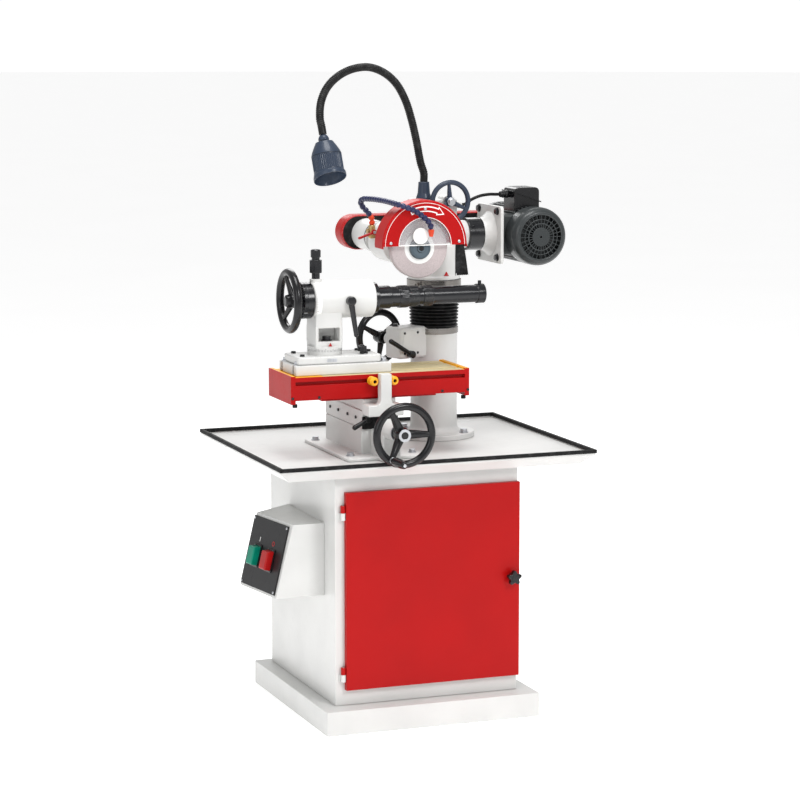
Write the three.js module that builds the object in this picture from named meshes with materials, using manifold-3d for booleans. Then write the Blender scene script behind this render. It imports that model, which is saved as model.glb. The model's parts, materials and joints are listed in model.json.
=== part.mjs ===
// Tool and cutter grinder on a steel cabinet, in millimetres, +Z up.
// The origin is the centre of the plinth's underside; the operator stands at -Y.

import * as THREE from 'three';
import { mergeVertices } from 'three/addons/utils/BufferGeometryUtils.js';
import Module from 'manifold-3d';

const wasm = await Module();
wasm.setup();

// Clearances shared by every fit
const gap = 0.3;
const running = 0.5;
const overrun = 2;
const weld = 1;
const cornerShare = 0.6;
const spokeShare = 0.7;

// Facet counts of round pieces
const fine = 20;
const medium = 14;
const coarse = 10;
const tiny = 8;
const small = 6;
const lengthSteps = 600;

// Floor stand
const plinth = { width: 560, depth: 575, height: 60, floor: 6, wall: 4, lip: 24 };
const cabinet = { width: 480, depth: 500, wall: 3, setback: 17 };
const door = {
  leftInset: 24, bottom: 100, height: 490, thickness: 15, sheet: 2.5,
  lap: 15, stiffener: 40, stiffenerDepth: 8,
};
const hinge = { radius: 6, pin: 3, knuckle: 18, leaf: 2, leafReach: 10, low: 121, high: 522, stand: 8 };
const knob = {
  height: 352, inset: 21, radius: 13, lobe: 6, lobes: 5, thickness: 16, stand: 9,
  shaft: 5, collar: 10, camLength: 16, camWidth: 10, camThickness: 3,
};
const switchBox = {
  front: -155, width: 195, topReach: 80, bottomReach: 126, skew: 30, low: 321, high: 502, tail: 80,
  sheet: 2.5,
};
const panel = { thickness: 4, margin: 7 };
const paddle = { width: 32, height: 50, proud: 20, spacing: 72, travel: 3, rise: 8, lean: 4 };

// Chip tray
const tray = {
  width: 820, depth: 662, offsetX: 15, offsetY: 40, floor: 655, lip: 8, sheet: 3, flare: 29, skirt: 24,
};
const trim = { overlap: 3, rise: 3, cover: 6 };

// Cross slide, table and stops
const feedX = -89;
const slideBase = {
  width: 92, front: -134, back: 135, height: 72, flangeWidth: 206, flange: 8, flangeFront: -195,
  flangeBack: 140, pedestalFront: -225, pedestal: 23, neckFront: -270, neckBack: -204,
  neckRoot: 26, neckTip: 20,
};
const feed = { height: 733, screw: 8, screwBack: 100, shoulder: 12 };
const saddle = { lower: 44, upper: 29, step: 3, front: -140, back: 135 };
const post = {
  width: 28, depth: 25, stand: 13, plateBottom: 762, plateTop: 790, top: 866, fillet: 12,
};
const table = {
  width: 466, depth: 175, front: -150, seat: 800, bottom: 806, surface: 863, rim: 866, rimWidth: 8,
  endPlate: 12, endBottom: 797, seatSpan: 300, seatInset: 14,
};
const slot = { neck: 12, head: 20, neckDepth: 9, headDepth: 8, spacing: 88, dogHeight: 847, dogNeck: 9,
  dogHead: 15, dogNeckDepth: 5, dogHeadDepth: 6 };
const dog = { radius: 11, length: 28, socket: 5, socketDepth: 9, stem: 4, clear: 1, nut: 6 };

// Handwheels: rim circle radius, rim tube radius, hub and spokes
const crossWheel = {
  radius: 80, tube: 9.5, hub: 19, hubLength: 36, spoke: 8, dish: 14, plane: -309, angles: [0, 120, 240],
};
const grip = {
  radius: 11.5, length: 84, neck: 7.5, pin: 4, reachShare: 0.83, swell: 9, tip: 5, angle: 240,
};
const workWheel = {
  radius: 80, tube: 10, hub: 18, hubLength: 34, spoke: 8, dish: 8, angles: [20, 140, 260],
};
const liftWheel = {
  radius: 72, tube: 9, hub: 17, hubLength: 34, spoke: 8, dish: 8, plane: 86, angles: [90, 210, 330],
};
const topWheel = {
  radius: 55, tube: 6.5, hub: 13, hubLength: 20, spoke: 6, dish: 2, plane: 88, shaft: 6, shaftLength: 22,
  angles: [95, 215, 335],
};

// Clamp levers and knobs
const lever = { boss: 8, bossLength: 16, root: 5, tip: 6.5, length: 38, tilt: 28, inset: 35, rise: 17 };
const columnLever = { inset: 7, rise: 12, length: 76, tilt: 30 };
const workLever = { boss: 9, bossLength: 18, root: 6, tip: 5, length: 84, lean: 13, inset: 71 };

// Grinding attachment on the table
const workX = -207;
const workY = -67;
const workHeight = 1041;
const workBase = { left: 96, right: 152, depth: 130, thickness: 25, edge: 4, lugDepth: 22, lugWidth: 16 };
const swivel = {
  left: 88, right: 130, depth: 112, thickness: 19, disc: 43, discHeight: 22, spigot: 20,
  spigotDepth: 8,
};
const upright = {
  width: 70, depth: 72, cheek: 8, recessDepth: 44, recessBottom: 10, recessTop: 18, foot: 7,
};
const housing = {
  radius: 46.5, left: 37, right: 122, chamfer: 3, bore: 18.5, plungerInset: 15, boss: 15, bossHeight: 6,
  flatDepth: 3,
};
const indexPlate = {
  radius: 45, length: 25, notches: 20, notchDepth: 4, notchWidth: 5, notchRun: 9, clear: 2,
};
const arbor = {
  seat: 9, flange: 38, flangeLength: 11, stepOne: 28.5, stepOneLength: 36, stepTwo: 25.5, stepTwoLength: 22,
  ring: 27.5, ringLength: 26, groove: 22.5, grooveLength: 12, collar: 25.5, collarLength: 26,
  sleeve: 22, sleeveLength: 120, end: 24.5, endLength: 20, bore: 11, boreDepth: 90, screw: 4.5,
  screwHeight: 8,
};
const plunger = {
  pin: 4, stem: 10, stemHeight: 14, body: 15, bodyHeight: 32, neck: 10, neckHeight: 6, cap: 12.5,
  capHeight: 20,
  park: 1.5,
};
const clampKnob = { radius: 12, height: 22, stem: 6, foot: 6, inset: 44, front: 34 };

// Column and elevation
const columnX = 157;
const columnY = 125;
const column = {
  radius: 60, bore: 52, top: 939, web: 45, flange: 105, flangeHeight: 14, flangeEdge: 2, band: 2.5,
  bandHeight: 15,
};
const gearbox = {
  reach: 98, width: 74, depth: 64, low: 866, high: 946, turn: 17.5, shaft: 8, boss: 16,
  bossLength: 14, edge: 8,
  shaftInset: 14, shaftDrop: 34, clear: 1.5,
};
const liftScrew = { radius: 12, bottomGap: 0.3, top: 985 };
const quill = { bottom: 770, flange: 66, flangeHeight: 20.5, screwBore: 13.5, cap: 12 };
const bellows = { radius: 68, valley: 60.5, inner: 53.5, folds: 6, height: 102.4 };
const upperBand = { thickness: 3.5, screw: 5, screwLength: 16, angle: 34 };

// Grinding head
const spindleX = 58;
const spindleZ = 1156;
const neck = { radius: 64, ring: 67, ringHeight: 9, edge: 2, top: 1150 };
const headBlock = { right: 63, front: -32, back: 72, low: 1118, high: 1214, edge: 10 };
const headTop = {
  left: -52, right: 58, front: -20, back: 62, high: 1265, edge: 6, boss: 14, bossLength: 40,
  gland: 22,
};
const headHollow = { wall: 12, neck: 50, barrel: 26, high: 1200 };
const barrel = { radius: 36, y: 150, z: 1171, end: 251.7 };
const clampRing = { radius: 52, front: 95, back: 205 };
const spindleTube = { radius: 37, front: 22, back: 321.7, nose: 30, noseFront: -2.5, bore: 17.5 };
const rearFlange = { radius: 41, offsetX: 14, offsetZ: 8, front: 215 };
const spindle = { radius: 17, collar: 25, collarFront: -7.7, collarBack: -3.5, seat: 16, seatFront: -26.7 };
const wheel = { radius: 75, front: -28, thickness: 20, recess: 36, recessDepth: 1 };
const flange = { radius: 25.5, thickness: 9, nut: 11, nutHeight: 6 };
const guard = {
  offsetX: 7, offsetZ: 8, radius: 113, opening: 69, front: -50, depth: 58, sheet: 3, collar: 40,
  collarLength: 13,
};
const guardWindow = {
  radius: 79, thickness: 2.5, knob: 18, knobX: -13, knobZ: 24, knobThickness: 5, proud: 6, stem: 6,
};
const flap = {
  inset: 14, thickness: 3, width: 22, lap: 14, drop: 80, flareIn: 1, flareOut: 13, teeth: 7,
  toothDepth: 5, clear: 0.5,
};
const pulley = { spindleRadius: 22, motorRadius: 31, rim: 5, front: 341, flange: 4, groove: 13 };
const belt = { thickness: 4.5 };
const beltCover = {
  radius: 45, sheet: 3, front: 322, back: 383, leftReach: 35, z: 1168, spindleHole: 24, motorHole: 26,
};
const bracket = {
  ring: 42, ringLength: 41, cone: 40, coneFoot: 58, coneLength: 26, plate: 9, width: 160, height: 148,
  edge: 2,
};
const motor = {
  stand: 16, z: 1168, radius: 70, front: 62, back: 321.7, pad: 24, padWidth: 122, padHeight: 104, fins: 16,
  finHeight: 4, finWidth: 3, finFront: 92, finBack: 286, shaft: 9,
};
const fanCover = {
  radius: 75, front: 28, length: 58, sheet: 2, grille: 52, spokes: 8, spokeWidth: 6, hub: 14, edge: 5,
};
const fan = { radius: 58, front: 40, thickness: 14 };
const terminalBox = {
  width: 70, depth: 72, y: 140, top: 1290, corner: 7, lidHigh: 1282, lidLow: 1254, lip: 3, overhang: 4,
  sink: 12, gland: 10, glandLength: 27, offset: 8,
};
const cable = {
  radius: 4, low: 1248, high: 1272, steps: 14, arcSteps: 3,
  routeShares: [[0, 0], [0.1, 0.04], [0.27, 0.5], [0.5, 0.88], [0.76, 1.02], [0.9, 1], [1, 1]],
};
const topWheelX = 187;
const topWheelZ = 1261;

// Coolant
const valve = {
  y: 158, z: 1184, stand: 6, body: 9, length: 34, port: 7, stem: 4, stemLength: 4, leverBoss: 7,
  leverThickness: 7, leverReach: 40, leverFall: 14,
};
const hose = {
  radius: 7.5, valley: 5.5, bore: 3, pitch: 16, boreEvery: 2, overlap: 3, end: [74, -68, 1204],
  route: [
    [0, 158, 1216], [-12, 156, 1234], [-28, 152, 1250], [-35, 144, 1263], [-33, 130, 1270], [-28, 105, 1272],
    [-22, 60, 1273], [-16, 10, 1272], [-13, -35, 1270], [-6, -60, 1267], [10, -68, 1261], [31, -69, 1252],
    [54, -68, 1236], [70, -68, 1220],
  ],
};
const nozzle = { tip: 4.5, hole: 1.5, shoulder: 8, length: 20 };

// Lamp
const lampX = 129;
const lampY = 125;
const lampBase = { radius: 14, flare: 20, height: 45, waistShare: 0.35, waist: 16, edge: 4 };
const neckHose = {
  radius: 10.4, valley: 8.8, bore: 5, pitch: 20, boreEvery: 4,
  route: [
    [120, 124, 1358], [108, 122, 1412], [94, 119, 1465], [75, 115, 1517], [48, 108, 1559], [12, 98, 1587],
    [-34, 84, 1602], [-85, 68, 1598], [-129, 53, 1580], [-162, 38, 1553], [-182, 25, 1518], [-188, 15, 1480],
  ],
};
const shade = {
  ball: 13.8, stem: 13, stemLength: 5.7, radius: 37.5, bell: 33, band: 41, rim: 41, length: 113, slant: 12,
  bellShares: [[0.57, 0], [0.8, 0.46], [0.93, 0.76], [1, 1]], roofShare: 0.46,
  wall: 2, bulb: 22, bulbNeck: 12, bulbInset: 20, bulbTip: 11, seat: 0.6,
  top: [-183.4, 7.2, 1441.5], aim: [-176, -26, 1334],
};

// Finishes
const finishes = {
  white: [0xe9e9e6, 0.42, 0.0],
  red: [0xc41818, 0.38, 0.0],
  black: [0x17181a, 0.45, 0.0],
  rubber: [0x101011, 0.8, 0.0],
  steel: [0xb9bcc0, 0.32, 0.9],
  darkSteel: [0x33363a, 0.35, 0.7],
  green: [0x127a5c, 0.4, 0.0],
  yellow: [0xf0a818, 0.45, 0.0],
  slate: [0x3c4a58, 0.5, 0.0],
  motorGreen: [0x2d3a3a, 0.5, 0.0],
  stone: [0xc9bdb9, 0.9, 0.0],
  clear: [0xe6eef0, 0.1, 0.0],
  brass: [0xb28b4a, 0.35, 0.8],
  navy: [0x1c2350, 0.5, 0.0],
};

// Geometry helpers

function solid(geometry) {
  const bare = geometry.clone();
  for (const name of Object.keys(bare.attributes)) {
    if (name !== 'position') bare.deleteAttribute(name);
  }
  const merged = mergeVertices(bare, 1e-4);
  const corners = merged.index.array;
  const kept = [];
  for (let i = 0; i < corners.length; i += 3) {
    const [a, b, c] = [corners[i], corners[i + 1], corners[i + 2]];
    if (a !== b && b !== c && c !== a) kept.push([a, b, c]);
  }
  const at = (i) => new THREE.Vector3().fromBufferAttribute(merged.attributes.position, i);
  const volume = kept.reduce((sum, [a, b, c]) => sum + at(a).dot(at(b).cross(at(c))), 0);
  if (volume < 0) kept.forEach((face) => face.reverse());
  const mesh = new wasm.Mesh({
    numProp: 3,
    vertProperties: new Float32Array(merged.attributes.position.array),
    triVerts: new Uint32Array(kept.flat()),
  });
  return new wasm.Manifold(mesh);
}

function placed(geometry, [x, y, z] = [0, 0, 0], [rx, ry, rz] = [0, 0, 0]) {
  const turn = new THREE.Matrix4().makeRotationFromEuler(new THREE.Euler(rx, ry, rz));
  const move = new THREE.Matrix4().makeTranslation(x, y, z);
  return solid(geometry.clone().applyMatrix4(move.multiply(turn)));
}

function union(...solids) {
  return solids.reduce((whole, part) => whole.add(part));
}

function without(whole, ...tools) {
  return tools.reduce((left, tool) => left.subtract(tool), whole);
}

// A box from its lowest to its highest corner
function block([x0, y0, z0], [x1, y1, z1]) {
  const box = new THREE.BoxGeometry(x1 - x0, y1 - y0, z1 - z0);
  return placed(box, [(x0 + x1) / 2, (y0 + y1) / 2, (z0 + z1) / 2]);
}

const quarter = Math.PI / 2;
const turns = { x: [0, 0, -quarter], y: [0, 0, 0], z: [quarter, 0, 0] };

// A profile of [radius, distance] points turned about a line along x, y or z from a start point
function turned(profile, axis, start = [0, 0, 0], segments = medium) {
  const points = profile.map(([r, d]) => new THREE.Vector2(r, d));
  const lathe = new THREE.LatheGeometry(points, segments);
  return placed(lathe, start, turns[axis]);
}

function rod(axis, radius, length, start, segments = medium) {
  return turned([[0, 0], [radius, 0], [radius, length], [0, length]], axis, start, segments);
}

// A round hole whose flats, not its corners, lie at the radius
function drill(axis, radius, length, start, segments = medium) {
  return rod(axis, radius / Math.cos(Math.PI / segments), length, start, segments);
}

function tubeRing(axis, inner, outer, length, start, segments = medium) {
  const ring = [[inner, 0], [outer, 0], [outer, length], [inner, length], [inner, 0]];
  return turned(ring, axis, start, segments);
}

// A flat outline in x and y, pulled up along z
function plate(shape, thickness, start = [0, 0, 0], turn = [0, 0, 0], curveSegments = tiny) {
  const options = { depth: thickness, bevelEnabled: false, curveSegments };
  return placed(new THREE.ExtrudeGeometry(shape, options), start, turn);
}

// A solid between two outlines of as many points, one over the other
function between(lower, lowZ, upper, highZ) {
  const count = lower.length;
  const at = [
    ...lower.map(([x, y]) => [x, y, lowZ]),
    ...upper.map(([x, y]) => [x, y, highZ]),
  ];
  const faces = [];
  for (let i = 0; i < count; i += 1) {
    const next = (i + 1) % count;
    faces.push(i, next, next + count, i, next + count, i + count);
  }
  for (let i = 1; i < count - 1; i += 1) {
    faces.push(0, i + 1, i, count, count + i, count + i + 1);
  }
  const geometry = new THREE.BufferGeometry();
  geometry.setAttribute('position', new THREE.Float32BufferAttribute(at.flat(), 3));
  geometry.setIndex(faces);
  return solid(geometry);
}

function rectangle(x0, y0, x1, y1) {
  return [[x0, y0], [x1, y0], [x1, y1], [x0, y1]];
}

function grown(points, [cx, cy], reach) {
  return points.map(([x, y]) => [x + Math.sign(x - cx) * reach, y + Math.sign(y - cy) * reach]);
}

// Moves a solid from a frame at a point, turned about z
function inFrame(part, [x, y, z], angle = 0) {
  const matrix = new THREE.Matrix4().makeRotationZ(angle).setPosition(x, y, z);
  return part.transform(matrix.elements);
}

// Pieces

const machine = new THREE.Group();
const materials = {};
for (const [name, [color, roughness, metalness]] of Object.entries(finishes)) {
  const clear = name === 'clear' ? { transparent: true, opacity: 0.35 } : {};
  materials[name] = new THREE.MeshStandardMaterial({ color, roughness, metalness, ...clear });
}

function piece(name, part, finish, group = machine) {
  const mesh = part.getMesh();
  const geometry = new THREE.BufferGeometry();
  geometry.setAttribute('position', new THREE.Float32BufferAttribute(mesh.vertProperties, 3));
  geometry.setIndex(new THREE.Uint32BufferAttribute(mesh.triVerts, 1));
  geometry.computeVertexNormals();
  const shown = new THREE.Mesh(geometry, materials[finish]);
  shown.name = name;
  group.add(shown);
  return shown;
}

function frameAt(x, y, z, group = machine) {
  const frame = new THREE.Group();
  frame.position.set(x, y, z);
  group.add(frame);
  return frame;
}

// Levels and faces that several pieces share
const cabinetBottom = plinth.height + gap;
const cabinetTop = tray.floor - tray.sheet - gap;
const cabinetLeft = -cabinet.width / 2;
const cabinetRight = cabinet.width / 2;
const cabinetFront = cabinet.setback - cabinet.depth / 2;
const cabinetBack = cabinet.setback + cabinet.depth / 2;
const doorLeft = cabinetLeft + door.leftInset;
const doorTop = door.bottom + door.height;
const doorBack = cabinetFront - gap;
const doorFront = doorBack - door.thickness;
const hingeX = doorLeft - hinge.radius;
const hingeY = cabinetFront - hinge.stand;
const knobX = cabinetRight - knob.inset;

function makePlinth() {
  const outer = block(
    [-plinth.width / 2, -plinth.depth / 2, 0],
    [plinth.width / 2, plinth.depth / 2, plinth.height],
  );
  const hollow = block(
    [plinth.wall - plinth.width / 2, plinth.wall - plinth.depth / 2, plinth.floor],
    [plinth.width / 2 - plinth.wall, plinth.depth / 2 - plinth.wall, plinth.height - plinth.wall],
  );
  const mouth = block(
    [cabinetLeft + plinth.lip, cabinetFront + plinth.lip, plinth.floor + overrun],
    [cabinetRight - plinth.lip, cabinetBack - plinth.lip, plinth.height + overrun],
  );
  piece('plinth', without(outer, hollow, mouth), 'white');
}

function makeCabinet() {
  const outer = block(
    [cabinetLeft, cabinetFront, cabinetBottom],
    [cabinetRight, cabinetBack, cabinetTop],
  );
  const inside = block(
    [cabinetLeft + cabinet.wall, cabinetFront + cabinet.wall, cabinetBottom - overrun],
    [cabinetRight - cabinet.wall, cabinetBack - cabinet.wall, cabinetTop - cabinet.wall],
  );
  const opening = block(
    [doorLeft + door.lap, cabinetFront - overrun, door.bottom + door.lap],
    [cabinetRight - door.lap, cabinetFront + cabinet.wall + overrun, doorTop - door.lap],
  );
  piece('cabinet', without(outer, inside, opening), 'white');
}

// The door is a folded pan; each hinge has a knuckle on the door over one on the cabinet
function makeDoor() {
  const pan = block([doorLeft, doorFront, door.bottom], [cabinetRight, doorBack, doorTop]);
  const hollow = block(
    [doorLeft + door.sheet, doorFront + door.sheet, door.bottom + door.sheet],
    [cabinetRight - door.sheet, doorBack + overrun, doorTop - door.sheet],
  );
  const middle = (door.bottom + doorTop) / 2;
  const stiffener = block(
    [doorLeft + weld, doorFront + weld, middle - door.stiffener / 2],
    [knobX - door.stiffener, doorFront + door.stiffenerDepth, middle + door.stiffener / 2],
  );
  let leaf = without(pan, hollow).add(stiffener);
  for (const low of [hinge.low, hinge.high]) {
    const bottom = low + hinge.knuckle + gap;
    const knuckle = rod('z', hinge.radius, hinge.knuckle, [hingeX, hingeY, bottom], coarse);
    const strap = block(
      [hingeX, hingeY - hinge.leaf, bottom],
      [doorLeft + weld, hingeY + hinge.leaf, bottom + hinge.knuckle],
    );
    const bore = drill(
      'z', hinge.pin + running, hinge.knuckle + 2 * overrun, [hingeX, hingeY, bottom - overrun], coarse,
    );
    leaf = without(union(leaf, knuckle, strap), bore);
  }
  const shaftHole = drill(
    'y', knob.shaft + running, door.thickness, [knobX, doorFront - overrun, knob.height], coarse,
  );
  piece('cabinet_door', without(leaf, shaftHole), 'red');
}

function makeHinge(name, low) {
  const knuckle = rod('z', hinge.radius, hinge.knuckle, [hingeX, hingeY, low], coarse);
  const pin = rod('z', hinge.pin, 2 * hinge.knuckle, [hingeX, hingeY, low], coarse);
  const leafRight = doorLeft - running;
  const leaf = block(
    [hingeX - hinge.leafReach, cabinetFront - gap - hinge.leaf, low],
    [leafRight, cabinetFront - gap, low + hinge.knuckle],
  );
  piece(name, union(knuckle, pin, leaf), 'white');
}

function makeDoorKnob() {
  const back = doorFront - knob.stand;
  let star = rod('y', knob.radius, knob.thickness, [knobX, back - knob.thickness, knob.height], medium);
  for (let i = 0; i < knob.lobes; i += 1) {
    const angle = quarter + (i * 2 * Math.PI) / knob.lobes;
    const at = [
      knobX + knob.radius * Math.cos(angle),
      back - knob.thickness,
      knob.height + knob.radius * Math.sin(angle),
    ];
    star = star.add(rod('y', knob.lobe, knob.thickness, at, coarse));
  }
  const shaftEnd = cabinetFront + cabinet.wall + gap + knob.camThickness;
  const shaft = rod('y', knob.shaft, shaftEnd - back + weld, [knobX, back - weld, knob.height], coarse);
  const collar = rod('y', knob.collar, knob.stand - gap, [knobX, back, knob.height], coarse);
  const cam = block(
    [knobX - knob.camWidth / 2, shaftEnd - knob.camThickness, knob.height - knob.camLength],
    [knobX + knob.camWidth / 2, shaftEnd, knob.height + knob.camWidth / 2],
  );
  piece('door_knob', union(star, shaft, collar, cam), 'black');
}

// The console's top outline is skewed in plan, and its front slopes out towards the bottom
function consoleOutline(reach, inset = 0) {
  const wall = cabinetLeft - gap;
  const far = wall - reach + inset;
  const back = switchBox.front + switchBox.width - inset;
  const tailSlope = switchBox.tail / (switchBox.topReach + switchBox.skew);
  const tailRun = (reach + switchBox.skew) * tailSlope - inset;
  return [
    [wall + (inset > 0 ? overrun : 0), switchBox.front + inset],
    [wall + (inset > 0 ? overrun : 0), back + tailRun],
    [far - switchBox.skew, back],
    [far, switchBox.front + inset],
  ];
}

// A frame on the console's sloping face: along it, up it, and out of it
function consoleFrame() {
  const low = consoleOutline(switchBox.bottomReach);
  const high = consoleOutline(switchBox.topReach);
  const lowFront = new THREE.Vector3(...low[3], switchBox.low);
  const lowBack = new THREE.Vector3(...low[2], switchBox.low);
  const highFront = new THREE.Vector3(...high[3], switchBox.high);
  const along = lowBack.clone().sub(lowFront);
  const up = highFront.clone().sub(lowFront);
  const length = along.length();
  along.normalize();
  up.addScaledVector(along, -up.dot(along));
  const height = up.length();
  up.normalize();
  const out = along.clone().cross(up).negate();
  return { origin: lowFront, along, up, out, length, height };
}

function onConsole(part, alongBy, upBy, outBy) {
  const { origin, along, up, out } = consoleFrame();
  const at = origin.clone();
  at.addScaledVector(along, alongBy).addScaledVector(up, upBy).addScaledVector(out, outBy);
  const matrix = new THREE.Matrix4().makeBasis(up, along, out).setPosition(at);
  return part.transform(matrix.elements);
}

function makeSwitch() {
  const low = consoleOutline(switchBox.bottomReach);
  const high = consoleOutline(switchBox.topReach);
  const inside = between(
    consoleOutline(switchBox.bottomReach, switchBox.sheet), switchBox.low + switchBox.sheet,
    consoleOutline(switchBox.topReach, switchBox.sheet), switchBox.high - switchBox.sheet,
  );
  piece('switch_box', without(between(low, switchBox.low, high, switchBox.high), inside), 'white');
  const { length, height } = consoleFrame();
  const sheet = block(
    [panel.margin, panel.margin, 0],
    [height - panel.margin, length - panel.margin, panel.thickness],
  );
  const middle = length / 2;
  const holes = [];
  const paddles = [['stop_button', -1, 'red'], ['start_button', 1, 'green']];
  for (const [name, side, finish] of paddles) {
    const centre = middle + (side * paddle.spacing) / 2;
    const bottom = height / 2 - paddle.height / 2 - paddle.rise;
    const hole = block(
      [bottom, centre - paddle.width / 2, -overrun],
      [bottom + paddle.height, centre + paddle.width / 2, panel.thickness + overrun],
    );
    holes.push(hole);
    const foot = rectangle(
      bottom + running, centre - paddle.width / 2 + running,
      bottom + paddle.height - running, centre + paddle.width / 2 - running,
    );
    const head = foot.map(([x, y]) => [x > bottom + paddle.height / 2 ? x - paddle.lean : x, y]);
    const key = between(foot, paddle.travel + gap, head, panel.thickness + paddle.proud);
    piece(name, onConsole(key, 0, 0, gap), finish);
  }
  piece('switch_panel', onConsole(without(sheet, ...holes), 0, 0, gap), 'black');
}

// The tray is a sheet floor inside a low lip, with a skirt that flares in below it
const trayLeft = tray.offsetX - tray.width / 2;
const trayRight = tray.offsetX + tray.width / 2;
const trayFront = tray.offsetY - tray.depth / 2;
const trayBack = tray.offsetY + tray.depth / 2;
const trayCentre = [tray.offsetX, tray.offsetY];

function trayOutline(reach) {
  return grown(rectangle(trayLeft, trayFront, trayRight, trayBack), trayCentre, reach);
}

function makeTray() {
  const lipTop = tray.floor + tray.lip;
  const under = tray.floor - tray.sheet;
  const skirtBottom = under - tray.skirt;
  const lip = between(trayOutline(0), under, trayOutline(0), lipTop);
  const well = between(trayOutline(-tray.sheet), tray.floor, trayOutline(-tray.sheet), lipTop + overrun);
  const skirt = between(trayOutline(-tray.flare), skirtBottom, trayOutline(0), under + weld);
  const slope = tray.flare / (tray.skirt + weld);
  const inner = between(
    trayOutline(-tray.flare - tray.sheet - overrun * slope), skirtBottom - overrun,
    trayOutline(-tray.sheet - weld * slope), under,
  );
  piece('chip_tray', union(without(lip, well), without(skirt, inner)), 'white');

  const trimTop = lipTop + trim.rise;
  const trimLow = lipTop - trim.cover;
  const outer = between(trayOutline(trim.overlap), trimLow, trayOutline(trim.overlap), trimTop);
  const core = between(
    trayOutline(-tray.sheet - trim.overlap), trimLow - overrun,
    trayOutline(-tray.sheet - trim.overlap), trimTop + overrun,
  );
  const channel = without(
    between(trayOutline(gap), trimLow - overrun, trayOutline(gap), lipTop + gap),
    between(
      trayOutline(-tray.sheet - gap), trimLow - 2 * overrun,
      trayOutline(-tray.sheet - gap), lipTop + overrun,
    ),
  );
  piece('tray_edge_trim', without(outer, core, channel), 'rubber');
}

// The cross slide's base stands on the tray; a pedestal at its front carries the feed screw
const baseBottom = tray.floor + gap;
const baseTop = tray.floor + slideBase.height;

function feedBore(radius) {
  const front = slideBase.neckFront - overrun;
  return drill('y', radius, slideBase.back - front + overrun, [feedX, front, feed.height], coarse);
}

function makeSlideBase() {
  const half = slideBase.width / 2;
  const body = block([feedX - half, slideBase.front, baseBottom], [feedX + half, slideBase.back, baseTop]);
  const foot = block(
    [feedX - slideBase.flangeWidth / 2, slideBase.flangeFront, baseBottom],
    [feedX + slideBase.flangeWidth / 2, slideBase.flangeBack, baseBottom + slideBase.flange],
  );
  const pedestal = block(
    [feedX - slideBase.pedestal, slideBase.pedestalFront, baseBottom],
    [feedX + slideBase.pedestal, slideBase.front + weld, baseTop],
  );
  const bearing = turned(
    [
      [0, slideBase.neckFront], [slideBase.neckTip, slideBase.neckFront],
      [slideBase.neckRoot, slideBase.neckBack], [0, slideBase.neckBack],
    ],
    'y', [feedX, 0, feed.height],
  );
  const whole = union(body, foot, pedestal, bearing);
  piece('slide_base', without(whole, feedBore(feed.screw + running)), 'white');
}

const saddleBottom = baseTop + gap;
const saddleMiddle = saddleBottom + saddle.lower;
const saddleTop = table.seat - gap;
const postFront = table.front - post.stand - post.depth + running;

function makeSaddle() {
  const half = slideBase.width / 2;
  const lower = block([feedX - half, saddle.front, saddleBottom], [feedX + half, saddle.back, saddleMiddle]);
  const upper = block(
    [feedX - half + saddle.step, saddle.front + saddle.step, saddleMiddle - weld],
    [feedX + half - saddle.step, saddle.back - saddle.step, saddleTop],
  );
  const web = block(
    [feedX - half, postFront, post.plateBottom],
    [feedX + half, saddle.front + weld, post.plateTop],
  );
  const mast = block(
    [feedX - post.width / 2, postFront, post.plateTop - weld],
    [feedX + post.width / 2, postFront + post.depth, post.top],
  );
  const flare = between(
    rectangle(
      feedX - post.width / 2 - post.fillet, postFront,
      feedX + post.width / 2 + post.fillet, postFront + post.depth,
    ),
    post.plateTop - weld,
    rectangle(feedX - post.width / 2, postFront, feedX + post.width / 2, postFront + post.depth),
    post.plateTop + post.fillet,
  );
  const whole = union(lower, upper, web, mast, flare);
  piece('cross_saddle', without(whole, feedBore(feed.screw + running)), 'white');
}

// A box with softened edges, from its lowest to its highest corner
function soft([x0, y0, z0], [x1, y1, z1], edge) {
  const shape = new THREE.Shape();
  const [a, b, c, d] = [x0 + edge, y0 + edge, x1 - edge, y1 - edge];
  const nick = edge * cornerShare;
  shape.moveTo(a + nick, b);
  shape.lineTo(c - nick, b);
  shape.lineTo(c, b + nick);
  shape.lineTo(c, d - nick);
  shape.lineTo(c - nick, d);
  shape.lineTo(a + nick, d);
  shape.lineTo(a, d - nick);
  shape.lineTo(a, b + nick);
  shape.closePath();
  const options = {
    depth: z1 - z0 - 2 * edge, bevelEnabled: true, bevelThickness: edge, bevelSize: edge, bevelSegments: 2,
  };
  return placed(new THREE.ExtrudeGeometry(shape, options), [0, 0, z0 + edge]);
}

// A round bar between two points, of one radius at each
function bar(from, to, fromRadius, toRadius, segments = tiny) {
  const [a, b] = [new THREE.Vector3(...from), new THREE.Vector3(...to)];
  const along = b.clone().sub(a);
  const geometry = new THREE.CylinderGeometry(toRadius, fromRadius, along.length(), segments);
  const start = new THREE.Vector3(0, 1, 0);
  const turn = new THREE.Quaternion().setFromUnitVectors(start, along.clone().normalize());
  const matrix = new THREE.Matrix4().makeRotationFromQuaternion(turn);
  geometry.applyMatrix4(matrix.setPosition(a.add(b).multiplyScalar(0.5)));
  return solid(geometry);
}

function ball(centre, radius) {
  return placed(new THREE.SphereGeometry(radius, tiny, small), centre);
}

function outlineShape(points) {
  return new THREE.Shape(points.map(([x, y]) => new THREE.Vector2(x, y)));
}

// An outline in x and z, pulled from one y to another
function slab(shape, front, back, segments = tiny) {
  return plate(shape, back - front, [0, back, 0], [quarter, 0, 0], segments);
}

// Where a handwheel's rim lies in front of the back of its hub
function rimPlane(size) {
  return size.hubLength / 2 + size.dish;
}

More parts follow.
